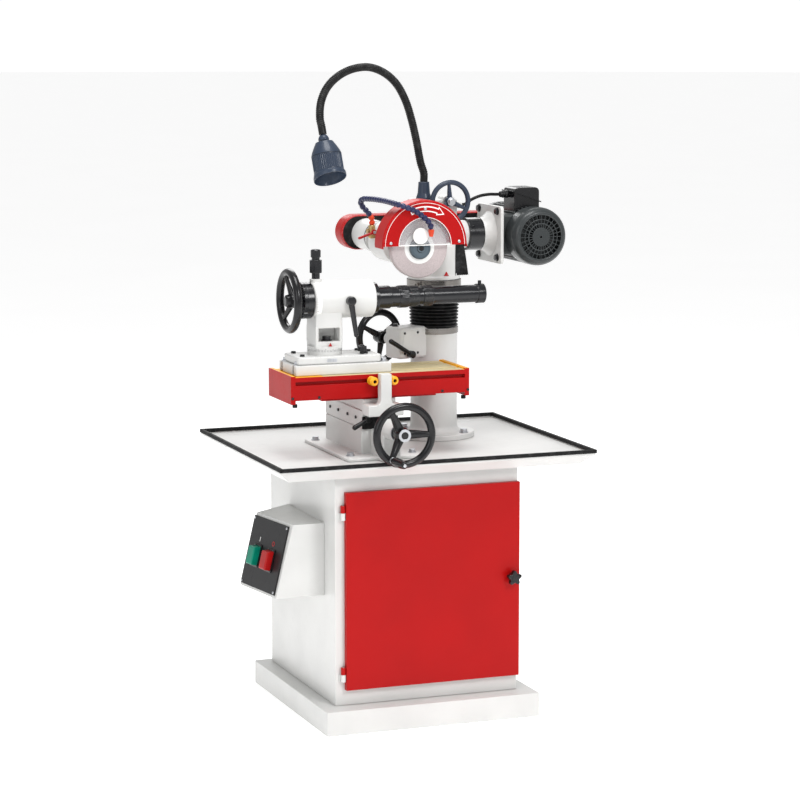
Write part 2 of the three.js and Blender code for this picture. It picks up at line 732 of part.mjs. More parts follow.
// A handwheel about z with the back of its hub at z = 0; a bore of nought leaves it solid
function handwheel(size, bore, angles) {
  const ringRadius = size.radius - size.tube;
  const plane = rimPlane(size);
  const circle = [];
  for (let i = 0; i <= tiny; i += 1) {
    const angle = (i * 2 * Math.PI) / tiny;
    circle.push([ringRadius + size.tube * Math.cos(angle), plane + size.tube * Math.sin(angle)]);
  }
  let whole = turned(circle, 'z', [0, 0, 0], fine).add(rod('z', size.hub, size.hubLength, [0, 0, 0]));
  const low = size.hubLength / 2;
  const tip = size.spoke * spokeShare;
  for (const degrees of angles) {
    const arm = between(
      rectangle(-low - size.spoke, -size.spoke, -low + size.spoke, size.spoke), size.hub / 2,
      rectangle(-plane - tip, -tip, -plane + tip, tip), ringRadius,
    );
    const lie = new THREE.Matrix4().makeRotationY(quarter);
    const matrix = new THREE.Matrix4().makeRotationZ(THREE.MathUtils.degToRad(degrees)).multiply(lie);
    whole = whole.add(arm.transform(matrix.elements));
  }
  if (bore > 0) {
    whole = without(whole, drill('z', bore, size.hubLength + 2 * overrun, [0, 0, -overrun], coarse));
  }
  return whole;
}

const crossHubBack = crossWheel.plane + rimPlane(crossWheel);
const gripRadius = crossWheel.radius * grip.reachShare;
const gripTurn = THREE.MathUtils.degToRad(grip.angle);

function makeCrossFeed() {
  const front = crossHubBack - crossWheel.hubLength;
  const shaft = rod('y', feed.screw, feed.screwBack - front, [feedX, front, feed.height], coarse);
  const collarLength = slideBase.neckFront - crossHubBack - 2 * gap;
  const collar = rod('y', feed.shoulder, collarLength, [feedX, crossHubBack + gap, feed.height], coarse);
  piece('cross_feed_screw', union(shaft, collar), 'steel');

  const at = [gripRadius * Math.cos(gripTurn), gripRadius * Math.sin(gripTurn)];
  const pinRadius = grip.pin + running;
  const through = drill('z', pinRadius, 2 * crossWheel.radius, [...at, -crossWheel.radius], coarse);
  const wheelBody = without(handwheel(crossWheel, feed.screw + gap, crossWheel.angles), through);
  const shown = piece('cross_handwheel', wheelBody, 'black');
  shown.position.set(feedX, crossHubBack, feed.height);
  shown.rotation.x = quarter;

  const foot = crossWheel.tube + gap;
  const end = foot + grip.length;
  const profile = [
    [0, -crossWheel.tube], [grip.pin, -crossWheel.tube], [grip.pin, foot], [grip.neck, foot],
    [grip.neck, foot + grip.swell], [grip.radius, foot + 2 * grip.swell],
    [grip.radius, end - 2 * grip.swell], [grip.neck, end - grip.tip], [grip.neck, end], [0, end],
  ];
  const handle = piece('cross_handwheel_grip', turned(profile, 'z', [0, 0, 0], coarse), 'black');
  handle.position.set(feedX + at[0], crossWheel.plane, feed.height + at[1]);
  handle.rotation.x = quarter;

  const pivot = [feedX - lever.inset, saddle.front - gap - lever.bossLength / 2, feed.height + lever.rise];
  const lean = THREE.MathUtils.degToRad(lever.tilt);
  const tipAt = [
    pivot[0] - lever.length * Math.cos(lean), pivot[1], pivot[2] - lever.length * Math.sin(lean),
  ];
  const bossStart = [pivot[0], saddle.front - gap - lever.bossLength, pivot[2]];
  const boss = rod('y', lever.boss, lever.bossLength, bossStart, coarse);
  const clamp = union(boss, bar(pivot, tipAt, lever.root, lever.tip), ball(tipAt, lever.tip));
  piece('saddle_clamp_lever', clamp, 'black');
}

// The table runs along x on the saddle, with two T-slots on top and one in its front for the stops
const tableLeft = feedX - table.width / 2;
const tableRight = feedX + table.width / 2;
const tableBack = table.front + table.depth;
const tableMiddle = (table.front + tableBack) / 2;

function makeTable() {
  let whole = block([tableLeft, table.front, table.bottom], [tableRight, tableBack, table.surface]);
  const ends = [[tableLeft, tableLeft + table.endPlate], [tableRight - table.endPlate, tableRight]];
  for (const [x0, x1] of ends) {
    whole = whole.add(block([x0, table.front, table.endBottom], [x1, tableBack, table.rim]));
  }
  const seat = block(
    [feedX - table.seatSpan / 2, table.front + table.seatInset, table.seat],
    [feedX + table.seatSpan / 2, tableBack - table.seatInset, table.bottom + weld],
  );
  whole = whole.add(seat);
  const [x0, x1] = [ends[0][1], ends[1][0]];
  const shoulder = table.surface - slot.neckDepth;
  for (const side of [-1, 1]) {
    const y = tableMiddle + (side * slot.spacing) / 2;
    const mouth = block(
      [x0, y - slot.neck / 2, shoulder - overrun], [x1, y + slot.neck / 2, table.rim + overrun],
    );
    const wide = block(
      [x0, y - slot.head / 2, shoulder - slot.headDepth], [x1, y + slot.head / 2, shoulder],
    );
    whole = without(whole, mouth, wide);
  }
  const neckBack = table.front + slot.dogNeckDepth;
  const mouth = block(
    [x0, table.front - overrun, slot.dogHeight - slot.dogNeck / 2],
    [x1, neckBack + overrun, slot.dogHeight + slot.dogNeck / 2],
  );
  const wide = block(
    [x0, neckBack, slot.dogHeight - slot.dogHead / 2],
    [x1, neckBack + slot.dogHeadDepth, slot.dogHeight + slot.dogHead / 2],
  );
  piece('table', without(whole, mouth, wide), 'red');

  const nutFront = dog.length + gap + slot.dogNeckDepth + gap;
  const nutBack = dog.length + gap + slot.dogNeckDepth + slot.dogHeadDepth - gap;
  const profile = [
    [0, dog.socketDepth], [dog.socket, dog.socketDepth], [dog.socket, 0], [dog.radius, 0],
    [dog.radius, dog.length], [dog.stem, dog.length], [dog.stem, nutFront], [dog.nut, nutFront],
    [dog.nut, nutBack], [0, nutBack],
  ];
  const reach = post.width / 2 + dog.radius + dog.clear;
  for (const [name, side] of [['stop_dog_left', -1], ['stop_dog_right', 1]]) {
    const start = [feedX + side * reach, table.front - gap - dog.length, slot.dogHeight];
    piece(name, turned(profile, 'y', start, coarse), 'yellow');
  }
}

// The attachment clamps to the table and swivels about a spigot; its spindle lies along x
const workBottom = table.surface + gap;
const swivelBottom = workBottom + workBase.thickness + gap;
const discBottom = swivelBottom + swivel.thickness;
const uprightBottom = discBottom + swivel.discHeight;
const housingLeft = workX - housing.left;
const housingRight = workX + housing.right;
const plungerX = housingLeft + housing.plungerInset;
const plungerPad = workHeight + housing.radius + housing.bossHeight;
const workLeverX = housingRight - workLever.inset;
const workLeverFace = workY - housing.radius + housing.flatDepth;

function makeAttachment() {
  const half = workBase.depth / 2;
  let base = soft(
    [workX - workBase.left, workY - half, workBottom],
    [workX + workBase.right, workY + half, workBottom + workBase.thickness], workBase.edge,
  );
  const ends = [
    [workX - workBase.left - overrun, workX - workBase.left + workBase.lugDepth],
    [workX + workBase.right - workBase.lugDepth, workX + workBase.right + overrun],
  ];
  for (const [x0, x1] of ends) {
    for (const side of [-1, 1]) {
      const y = tableMiddle + (side * slot.spacing) / 2;
      const notch = block(
        [x0, y - workBase.lugWidth / 2, workBottom - overrun],
        [x1, y + workBase.lugWidth / 2, swivelBottom + overrun],
      );
      base = without(base, notch);
    }
  }
  const hole = drill(
    'z', swivel.spigot + running, 2 * swivel.spigotDepth,
    [workX, workY, workBottom + workBase.thickness - swivel.spigotDepth - running],
  );
  piece('attachment_base', without(base, hole), 'white');

  const pad = soft(
    [workX - swivel.left, workY - swivel.depth / 2, swivelBottom],
    [workX + swivel.right, workY + swivel.depth / 2, discBottom], workBase.edge,
  );
  const spigotBottom = swivelBottom - swivel.spigotDepth;
  const spigot = rod('z', swivel.spigot, swivel.spigotDepth + weld, [workX, workY, spigotBottom]);
  const disc = rod('z', swivel.disc, swivel.discHeight + weld, [workX, workY, discBottom - weld], fine);
  const mast = soft(
    [workX - upright.width / 2, workY - upright.depth / 2, uprightBottom - upright.foot],
    [workX + upright.width / 2, workY + upright.depth / 2, workHeight], workBase.edge,
  );
  const inside = upright.width / 2 - upright.cheek;
  const recess = block(
    [workX - inside, workY - upright.depth / 2 - overrun, uprightBottom + upright.recessBottom],
    [
      workX + inside, workY - upright.depth / 2 + upright.recessDepth,
      workHeight - housing.radius - upright.recessTop,
    ],
  );
  const length = housing.left + housing.right;
  const tube = turned(
    [
      [0, 0], [housing.radius - housing.chamfer, 0], [housing.radius, housing.chamfer],
      [housing.radius, length - housing.chamfer], [housing.radius - housing.chamfer, length], [0, length],
    ],
    'x', [housingLeft, workY, workHeight], fine,
  );
  const boss = rod('z', housing.boss, plungerPad - workHeight, [plungerX, workY, workHeight], coarse);
  const flat = rod(
    'y', workLever.boss + 2 * overrun, housing.radius,
    [workLeverX, workLeverFace - housing.radius, workHeight],
  );
  const bore = drill('x', housing.bore, length + 2 * overrun, [housingLeft - overrun, workY, workHeight]);
  const pinRun = plungerPad - workHeight + overrun;
  const pinHole = drill('z', plunger.pin + running, pinRun, [plungerX, workY, workHeight], coarse);
  const body = union(pad, spigot, disc, mast, tube, boss);
  piece('attachment_housing', without(body, recess, flat, bore, pinHole), 'white');

  const low = workHeight + housing.bore + plunger.park;
  let z = plungerPad + gap;
  const profile = [[0, low], [plunger.pin, low], [plunger.pin, z]];
  const steps = [
    [plunger.stem, plunger.stemHeight], [plunger.body, plunger.bodyHeight],
    [plunger.neck, plunger.neckHeight], [plunger.cap, plunger.capHeight],
  ];
  for (const [r, h] of steps) {
    profile.push([r, z], [r, z + h]);
    z += h;
  }
  profile.push([0, z]);
  piece('index_plunger', turned(profile, 'z', [plungerX, workY, 0], coarse), 'darkSteel');

  const bossFront = workLeverFace - gap - workLever.bossLength;
  const middle = bossFront + workLever.bossLength / 2;
  const tip = [workLeverX + workLever.lean, middle, workHeight - workLever.length];
  const arm = bar([workLeverX, middle, workHeight], tip, workLever.root, workLever.tip);
  const hub = rod('y', workLever.boss, workLever.bossLength, [workLeverX, bossFront, workHeight], coarse);
  piece('attachment_clamp_lever', union(hub, arm, ball(tip, workLever.tip)), 'black');

  const knobStart = [
    workX + swivel.right - clampKnob.inset, workY - clampKnob.front, discBottom + gap,
  ];
  const knobProfile = [
    [0, 0], [clampKnob.stem, 0], [clampKnob.stem, clampKnob.foot], [clampKnob.radius, clampKnob.foot],
    [clampKnob.radius, clampKnob.height - clampKnob.foot / 2],
    [clampKnob.stem, clampKnob.height], [0, clampKnob.height],
  ];
  piece('attachment_clamp_knob', turned(knobProfile, 'z', knobStart, coarse), 'black');
}

const plateRight = housingLeft - indexPlate.clear;
const plateLeft = plateRight - indexPlate.length;
const workHubBack = plateLeft - indexPlate.clear;

function makeWorkSpindle() {
  const start = workHubBack - workWheel.hubLength;
  const shoulder = housingLeft + gap - start;
  let d = housingRight + gap - start;
  const profile = [[0, 0], [arbor.seat, 0], [arbor.seat, shoulder], [housing.bore - running, shoulder]];
  profile.push([housing.bore - running, d]);
  const steps = [
    [arbor.flange, arbor.flangeLength], [arbor.stepOne, arbor.stepOneLength],
    [arbor.stepTwo, arbor.stepTwoLength], [arbor.ring, arbor.ringLength],
    [arbor.collar, arbor.collarLength], [arbor.groove, arbor.grooveLength],
    [arbor.collar, arbor.collarLength], [arbor.sleeve, arbor.sleeveLength], [arbor.end, arbor.endLength],
  ];
  for (const [r, length] of steps) {
    profile.push([r, d], [r, d + length]);
    d += length;
  }
  profile.push([arbor.bore, d], [arbor.bore, d - arbor.boreDepth], [0, d - arbor.boreDepth]);
  const body = turned(profile, 'x', [start, workY, workHeight]);
  const screwStart = [start + d - arbor.endLength / 2, workY, workHeight + arbor.end - overrun];
  const screw = rod('z', arbor.screw, arbor.screwHeight + overrun, screwStart, coarse);
  piece('attachment_spindle', union(body, screw), 'darkSteel');

  const plateAt = [plateLeft, workY, workHeight];
  let disc = tubeRing('x', arbor.seat + gap, indexPlate.radius, indexPlate.length, plateAt, fine);
  for (let i = 0; i < indexPlate.notches; i += 1) {
    const angle = (i * 2 * Math.PI) / indexPlate.notches;
    const low = indexPlate.radius - indexPlate.notchDepth;
    const notch = block(
      [low, -indexPlate.notchWidth / 2, -overrun],
      [indexPlate.radius + overrun, indexPlate.notchWidth / 2, indexPlate.notchRun],
    );
    const stand = new THREE.Matrix4().makeRotationX(angle);
    stand.multiply(new THREE.Matrix4().makeRotationY(-quarter));
    const notchX = plateLeft + indexPlate.notchRun;
    stand.premultiply(new THREE.Matrix4().makeTranslation(notchX, workY, workHeight));
    disc = without(disc, notch.transform(stand.elements));
  }
  piece('index_plate', disc, 'darkSteel');

  const wheelBody = handwheel(workWheel, arbor.seat + gap, workWheel.angles);
  const shown = piece('attachment_handwheel', wheelBody, 'black');
  shown.position.set(workHubBack, workY, workHeight);
  shown.rotation.y = -quarter;
}

// The column carries a lifting quill; bellows cover it and a gearbox turns its screw
const columnBottom = baseBottom;
const webTop = columnBottom + column.web;
const gearTurn = THREE.MathUtils.degToRad(gearbox.turn);
const quillTop = column.top + gap + bellows.height + gap;
const headBottom = quillTop + quill.flangeHeight + gap;

function makeColumn() {
  const bandLow = column.top - column.bandHeight - columnBottom;
  const height = column.top - columnBottom;
  const profile = [
    [0, 0], [column.flange, 0], [column.flange, column.flangeHeight - column.flangeEdge],
    [column.flange - column.flangeEdge, column.flangeHeight], [column.radius, column.flangeHeight],
    [column.radius, bandLow], [column.radius + column.band, bandLow], [column.radius + column.band, height],
    [column.bore, height], [column.bore, column.web], [0, column.web],
  ];
  piece('column', turned(profile, 'z', [columnX, columnY, columnBottom], fine), 'white');

  const frame = frameAt(columnX, columnY, 0);
  frame.rotation.z = gearTurn;
  const face = gearbox.depth / 2;
  const box = soft(
    [-gearbox.reach - gearbox.width / 2, -face, gearbox.low],
    [-column.radius / 2, face, gearbox.high], gearbox.edge,
  );
  const shaftX = -gearbox.reach - gearbox.shaftInset;
  const axle = gearbox.high - gearbox.shaftDrop;
  const boss = rod('y', gearbox.boss, gearbox.bossLength + weld, [shaftX, face - weld, axle], coarse);
  const bandBottom = column.top - column.bandHeight - gap;
  const cuts = [
    drill('z', column.radius + gap, gearbox.high, [0, 0, 0], fine),
    drill('z', column.radius + column.band + gap, gearbox.high, [0, 0, bandBottom], fine),
    drill('z', bellows.radius + gearbox.clear, gearbox.high, [0, 0, column.top - gap], fine),
    drill('y', gearbox.shaft + running, gearbox.depth, [shaftX, -running, axle], coarse),
  ];
  piece('elevation_gearbox', without(union(box, boss), ...cuts), 'white', frame);

  const hubBack = liftWheel.plane - rimPlane(liftWheel);
  const shown = piece(
    'elevation_handwheel',
    union(
      handwheel(liftWheel, 0, liftWheel.angles),
      rod('z', gearbox.shaft, hubBack + weld, [0, 0, -hubBack], coarse),
    ),
    'black', frame,
  );
  shown.position.set(shaftX, hubBack, axle);
  shown.rotation.x = -quarter;

  const bossFront = -face - gap - lever.bossLength;
  const pivot = [
    -gearbox.reach - columnLever.inset, bossFront + lever.bossLength / 2, gearbox.low + columnLever.rise,
  ];
  const lean = THREE.MathUtils.degToRad(columnLever.tilt);
  const tip = [
    pivot[0] - columnLever.length * Math.cos(lean), pivot[1], pivot[2] + columnLever.length * Math.sin(lean),
  ];
  const hub = rod('y', lever.boss, lever.bossLength, [pivot[0], bossFront, pivot[2]], coarse);
  const arm = union(hub, bar(pivot, tip, lever.root, lever.tip), ball(tip, lever.tip));
  piece('column_clamp_lever', arm, 'black', frame);

  const screwLow = webTop + liftScrew.bottomGap;
  const screwAt = [columnX, columnY, screwLow];
  const screw = rod('z', liftScrew.radius, liftScrew.top - screwLow, screwAt, coarse);
  piece('elevation_screw', screw, 'steel');
}

function makeLift() {
  const tubeRadius = column.bore - running;
  const flangeLow = quillTop - quill.bottom;
  const flangeHigh = flangeLow + quill.flangeHeight;
  const boreTop = flangeHigh - quill.cap;
  const profile = [
    [quill.screwBore, 0], [tubeRadius, 0], [tubeRadius, flangeLow], [quill.flange, flangeLow],
    [quill.flange, flangeHigh], [0, flangeHigh], [0, boreTop], [quill.screwBore, boreTop],
    [quill.screwBore, 0],
  ];
  piece('column_quill', turned(profile, 'z', [columnX, columnY, quill.bottom], fine), 'steel');

  const fold = bellows.height / bellows.folds;
  const folds = [[bellows.inner, 0]];
  for (let i = 0; i < bellows.folds; i += 1) {
    folds.push([bellows.valley, i * fold], [bellows.radius, (i + 0.5) * fold]);
  }
  folds.push([bellows.valley, bellows.height], [bellows.inner, bellows.height], [bellows.inner, 0]);
  piece('bellows', turned(folds, 'z', [columnX, columnY, column.top + gap], fine), 'rubber');

  const inner = quill.flange + gap;
  const outer = inner + upperBand.thickness;
  const at = [columnX, columnY, quillTop];
  const strap = tubeRing('z', inner, outer, quill.flangeHeight, at, fine);
  const lugLeft = -outer - upperBand.screwLength / 2;
  const lug = rod('x', upperBand.screw, upperBand.screwLength, [lugLeft, 0, 0], coarse);
  const lugTurn = THREE.MathUtils.degToRad(upperBand.angle);
  const seated = without(
    inFrame(lug, [columnX, columnY, quillTop + quill.flangeHeight / 2], lugTurn),
    rod('z', outer - weld, 2 * quill.flangeHeight, at, fine),
  );
  piece('upper_clamp_band', union(strap, seated), 'steel');
}

// The head: a neck on the quill, a block that grips the spindle housing, and a barrel for the motor
const spindleAt = [spindleX, 0, spindleZ];
const topBack = columnY + headTop.back;
const topFront = columnY + headTop.front;
const topRight = columnX + headTop.right;
const topHubBack = topWheel.plane + rimPlane(topWheel);

function makeHead() {
  const stem = turned(
    [
      [0, 0], [neck.ring, 0], [neck.ring, neck.ringHeight - neck.edge],
      [neck.ring - neck.edge, neck.ringHeight], [neck.radius, neck.ringHeight],
      [neck.radius, neck.top - headBottom], [0, neck.top - headBottom],
    ],
    'z', [columnX, columnY, headBottom], fine,
  );
  const body = soft(
    [spindleX, columnY + headBlock.front, headBlock.low],
    [columnX + headBlock.right, columnY + headBlock.back, headBlock.high], headBlock.edge,
  );
  const upper = soft(
    [columnX + headTop.left, topFront, headBlock.low + headBlock.edge],
    [topRight, topBack, headTop.high], headTop.edge,
  );
  const wheelBoss = rod('y', headTop.boss, headTop.bossLength, [topWheelX, topFront, topWheelZ]);
  const arm = rod('x', barrel.radius, barrel.end - columnX, [columnX, barrel.y, barrel.z], fine);
  const ringLength = clampRing.back - clampRing.front;
  const ring = rod('y', clampRing.radius, ringLength, [spindleX, clampRing.front, spindleZ], fine);
  const glandAt = [topRight - weld, terminalBox.y, cable.low];
  const gland = rod('x', terminalBox.gland, headTop.gland + weld, glandAt, coarse);
  const housingBore = drill(
    'y', spindleTube.radius + gap, clampRing.back,
    [spindleX, clampRing.front - clampRing.radius, spindleZ], fine,
  );
  const boreStart = [topWheelX, topFront - overrun, topWheelZ];
  const wheelBore = drill('y', topWheel.shaft + running, headTop.bossLength, boreStart, coarse);
  const casting = union(stem, body, upper, wheelBoss, arm, ring, gland);
  const neckHollow = rod(
    'z', headHollow.neck, headBlock.low + headHollow.wall - headBottom + overrun,
    [columnX, columnY, headBottom - overrun], fine,
  );
  const blockHollow = block(
    [
      spindleX + spindleTube.radius + headHollow.wall,
      columnY + headBlock.front + headHollow.wall, headBlock.low + headHollow.wall,
    ],
    [
      columnX + headBlock.right - headHollow.wall,
      columnY + headBlock.back - headHollow.wall, headHollow.high,
    ],
  );
  const barrelRun = barrel.end - columnX + overrun;
  const barrelHollow = rod('x', headHollow.barrel, barrelRun, [columnX, barrel.y, barrel.z]);
  const cuts = [neckHollow, blockHollow, barrelHollow, housingBore, wheelBore];
  piece('head_casting', without(casting, ...cuts), 'white');

  const shown = piece(
    'head_handwheel',
    union(
      handwheel(topWheel, 0, topWheel.angles),
      rod('z', topWheel.shaft, topWheel.shaftLength + weld, [0, 0, -topWheel.shaftLength], coarse),
    ),
    'slate',
  );
  shown.position.set(topWheelX, topHubBack, topWheelZ);
  shown.rotation.x = quarter;
}

function makeSpindle() {
  const tube = turned(
    [
      [spindleTube.bore, spindleTube.noseFront], [spindleTube.nose, spindleTube.noseFront],
      [spindleTube.nose, spindleTube.front], [spindleTube.radius, spindleTube.front],
      [spindleTube.radius, spindleTube.back], [spindleTube.bore, spindleTube.back],
      [spindleTube.bore, spindleTube.noseFront],
    ],
    'y', spindleAt, fine,
  );
  const flangeStart = [spindleX - rearFlange.offsetX, rearFlange.front, spindleZ + rearFlange.offsetZ];
  const rear = rod('y', rearFlange.radius, beltCover.front - gap - rearFlange.front, flangeStart, fine);
  const bore = rod('y', spindleTube.bore, spindleTube.back, spindleAt);
  piece('spindle_housing', union(tube, without(rear, bore)), 'white');

  const grooveFront = pulley.front + pulley.flange;
  const grooveBack = grooveFront + pulley.groove;
  const pulleyBack = grooveBack + pulley.flange;
  const rim = pulley.spindleRadius + pulley.rim;
  const shaft = turned(
    [
      [0, spindle.seatFront], [spindle.seat, spindle.seatFront], [spindle.seat, spindle.collarFront],
      [spindle.collar, spindle.collarFront], [spindle.collar, spindle.collarBack],
      [spindle.radius, spindle.collarBack], [spindle.radius, pulley.front], [rim, pulley.front],
      [rim, grooveFront], [pulley.spindleRadius, grooveFront], [pulley.spindleRadius, grooveBack],
      [rim, grooveBack], [rim, pulleyBack], [0, pulleyBack],
    ],
    'y', spindleAt,
  );
  piece('spindle_shaft', shaft, 'steel');

  const back = wheel.front + wheel.thickness;
  const stone = turned(
    [
      [spindle.seat + gap, wheel.front + wheel.recessDepth], [wheel.recess, wheel.front + wheel.recessDepth],
      [wheel.recess, wheel.front], [wheel.radius, wheel.front], [wheel.radius, back],
      [spindle.seat + gap, back], [spindle.seat + gap, wheel.front + wheel.recessDepth],
    ],
    'y', spindleAt, fine,
  );
  piece('grinding_wheel', stone, 'stone');

  const flangeBack = wheel.front + wheel.recessDepth - gap;
  const flangeFront = flangeBack - flange.thickness;
  const nutFront = flangeFront - flange.nutHeight;
  const capBody = turned(
    [
      [0, nutFront], [flange.nut, nutFront], [flange.nut, flangeFront], [flange.radius, flangeFront],
      [flange.radius, flangeBack], [0, flangeBack],
    ],
    'y', spindleAt,
  );
  piece('wheel_flange', capBody, 'darkSteel');
}

// The guard's outlines are half discs about a point a little off the spindle
const guardX = spindleX + guard.offsetX;
const guardZ = spindleZ + guard.offsetZ;
const guardBack = guard.front + guard.depth;

function halfDisc(radius, opening = 0) {
  const shape = new THREE.Shape();
  shape.absarc(guardX, guardZ, radius, 0, Math.PI, false);
  if (opening > 0) {
    shape.lineTo(guardX - opening, guardZ);
    shape.absarc(guardX, guardZ, opening, Math.PI, 0, true);
  }
  shape.closePath();
  return shape;
}

function makeGuard() {
  const inner = guard.radius - guard.sheet;
  const face = slab(halfDisc(guard.radius, guard.opening), guard.front, guard.front + guard.sheet);
  const shell = slab(halfDisc(guard.radius, inner), guard.front, guardBack);
  const rear = slab(halfDisc(guard.radius), guardBack - guard.sheet, guardBack);
  const collarFront = guardBack - guard.sheet;
  const collarRun = guard.collarLength + guard.sheet;
  const collar = rod('y', guard.collar, collarRun, [spindleX, collarFront, spindleZ]);
  const bore = drill('y', spindleTube.nose + gap, 2 * guard.depth, [spindleX, guard.front, spindleZ]);
  piece('wheel_guard', without(union(face, shell, rear, collar), bore), 'red');

  const windowFront = guard.front + guard.sheet + gap;
  const pane = slab(halfDisc(guardWindow.radius), windowFront, windowFront + guardWindow.thickness);
  const knobAt = [guardX + guardWindow.knobX, guard.front - guardWindow.proud, guardZ + guardWindow.knobZ];
  const knobBack = windowFront + weld;
  const button = rod('y', guardWindow.knob, guardWindow.knobThickness, knobAt);
  const stem = rod('y', guardWindow.stem, knobBack - knobAt[1], knobAt, coarse);
  piece('guard_window', union(pane, button, stem), 'clear');

  // The flap hangs inside the guard's right-hand end, with a saw-toothed lower edge
  const right = guardX + inner - flap.clear;
  const left = right - flap.width;
  const low = guardZ - flap.drop;
  const shape = new THREE.Shape();
  shape.moveTo(left, guardZ + flap.lap);
  shape.lineTo(left - flap.flareIn, low);
  const run = right + flap.flareOut - (left - flap.flareIn);
  for (let i = 0; i < flap.teeth; i += 1) {
    const x = left - flap.flareIn + (run * i) / flap.teeth;
    shape.lineTo(x + run / flap.teeth / 2, low + flap.toothDepth);
    shape.lineTo(x + run / flap.teeth, low);
  }
  shape.lineTo(right, guardZ);
  shape.lineTo(right - overrun, guardZ + flap.lap);
  shape.closePath();
  const flapFront = guard.front + flap.inset;
  piece('spark_flap', slab(shape, flapFront, flapFront + flap.thickness), 'rubber');
}

// Two arcs of a loop round both pulleys, with their straight runs between
function loopShape(Kind, small, large) {
  const shape = new Kind();
  const [dx, dz] = [motorX - spindleX, motor.z - spindleZ];
  const lean = Math.atan2(dz, dx);
  const spread = Math.asin((large - small) / Math.hypot(dx, dz));
  const turn = quarter + spread;
  shape.absarc(motorX, motor.z, large, lean - turn, lean + turn, false);
  shape.absarc(spindleX, spindleZ, small, lean + turn, lean - turn + 2 * Math.PI, false);
  shape.closePath();
  return shape;
}

function stadium(reach) {
  const shape = new THREE.Shape();
  const left = spindleX - beltCover.leftReach;
  shape.absarc(left, beltCover.z, reach, quarter, 3 * quarter, false);
  shape.absarc(motorX, beltCover.z, reach, -quarter, quarter, false);
  shape.closePath();
  return shape;
}

function makeDrive() {
  const outer = slab(stadium(beltCover.radius), beltCover.front, beltCover.back);
  const hollow = slab(
    stadium(beltCover.radius - beltCover.sheet),
    beltCover.front + beltCover.sheet, beltCover.back - beltCover.sheet,
  );
  const holes = [
    drill('y', beltCover.spindleHole, 2 * beltCover.sheet, [spindleX, beltCover.front - overrun, spindleZ]),
    drill('y', beltCover.motorHole, 2 * beltCover.sheet, [motorX, beltCover.front - overrun, motor.z]),
  ];
  piece('belt_cover', without(outer, hollow, ...holes), 'red');

  const beltFront = pulley.front + pulley.flange + running;
  const beltBack = beltFront + pulley.groove - 2 * running;
  const inside = [pulley.spindleRadius + gap, pulley.motorRadius + gap];
  const loop = loopShape(THREE.Shape, inside[0] + belt.thickness, inside[1] + belt.thickness);
  loop.holes.push(loopShape(THREE.Path, ...inside));
  piece('drive_belt', slab(loop, beltFront, beltBack), 'rubber');
}

const bracketLeft = barrel.end + gap;
const coneLeft = bracketLeft + bracket.ringLength;
const coneRight = coneLeft + bracket.coneLength;
const plateFace = coneRight + bracket.plate;
const motorX = plateFace + motor.stand + motor.radius;

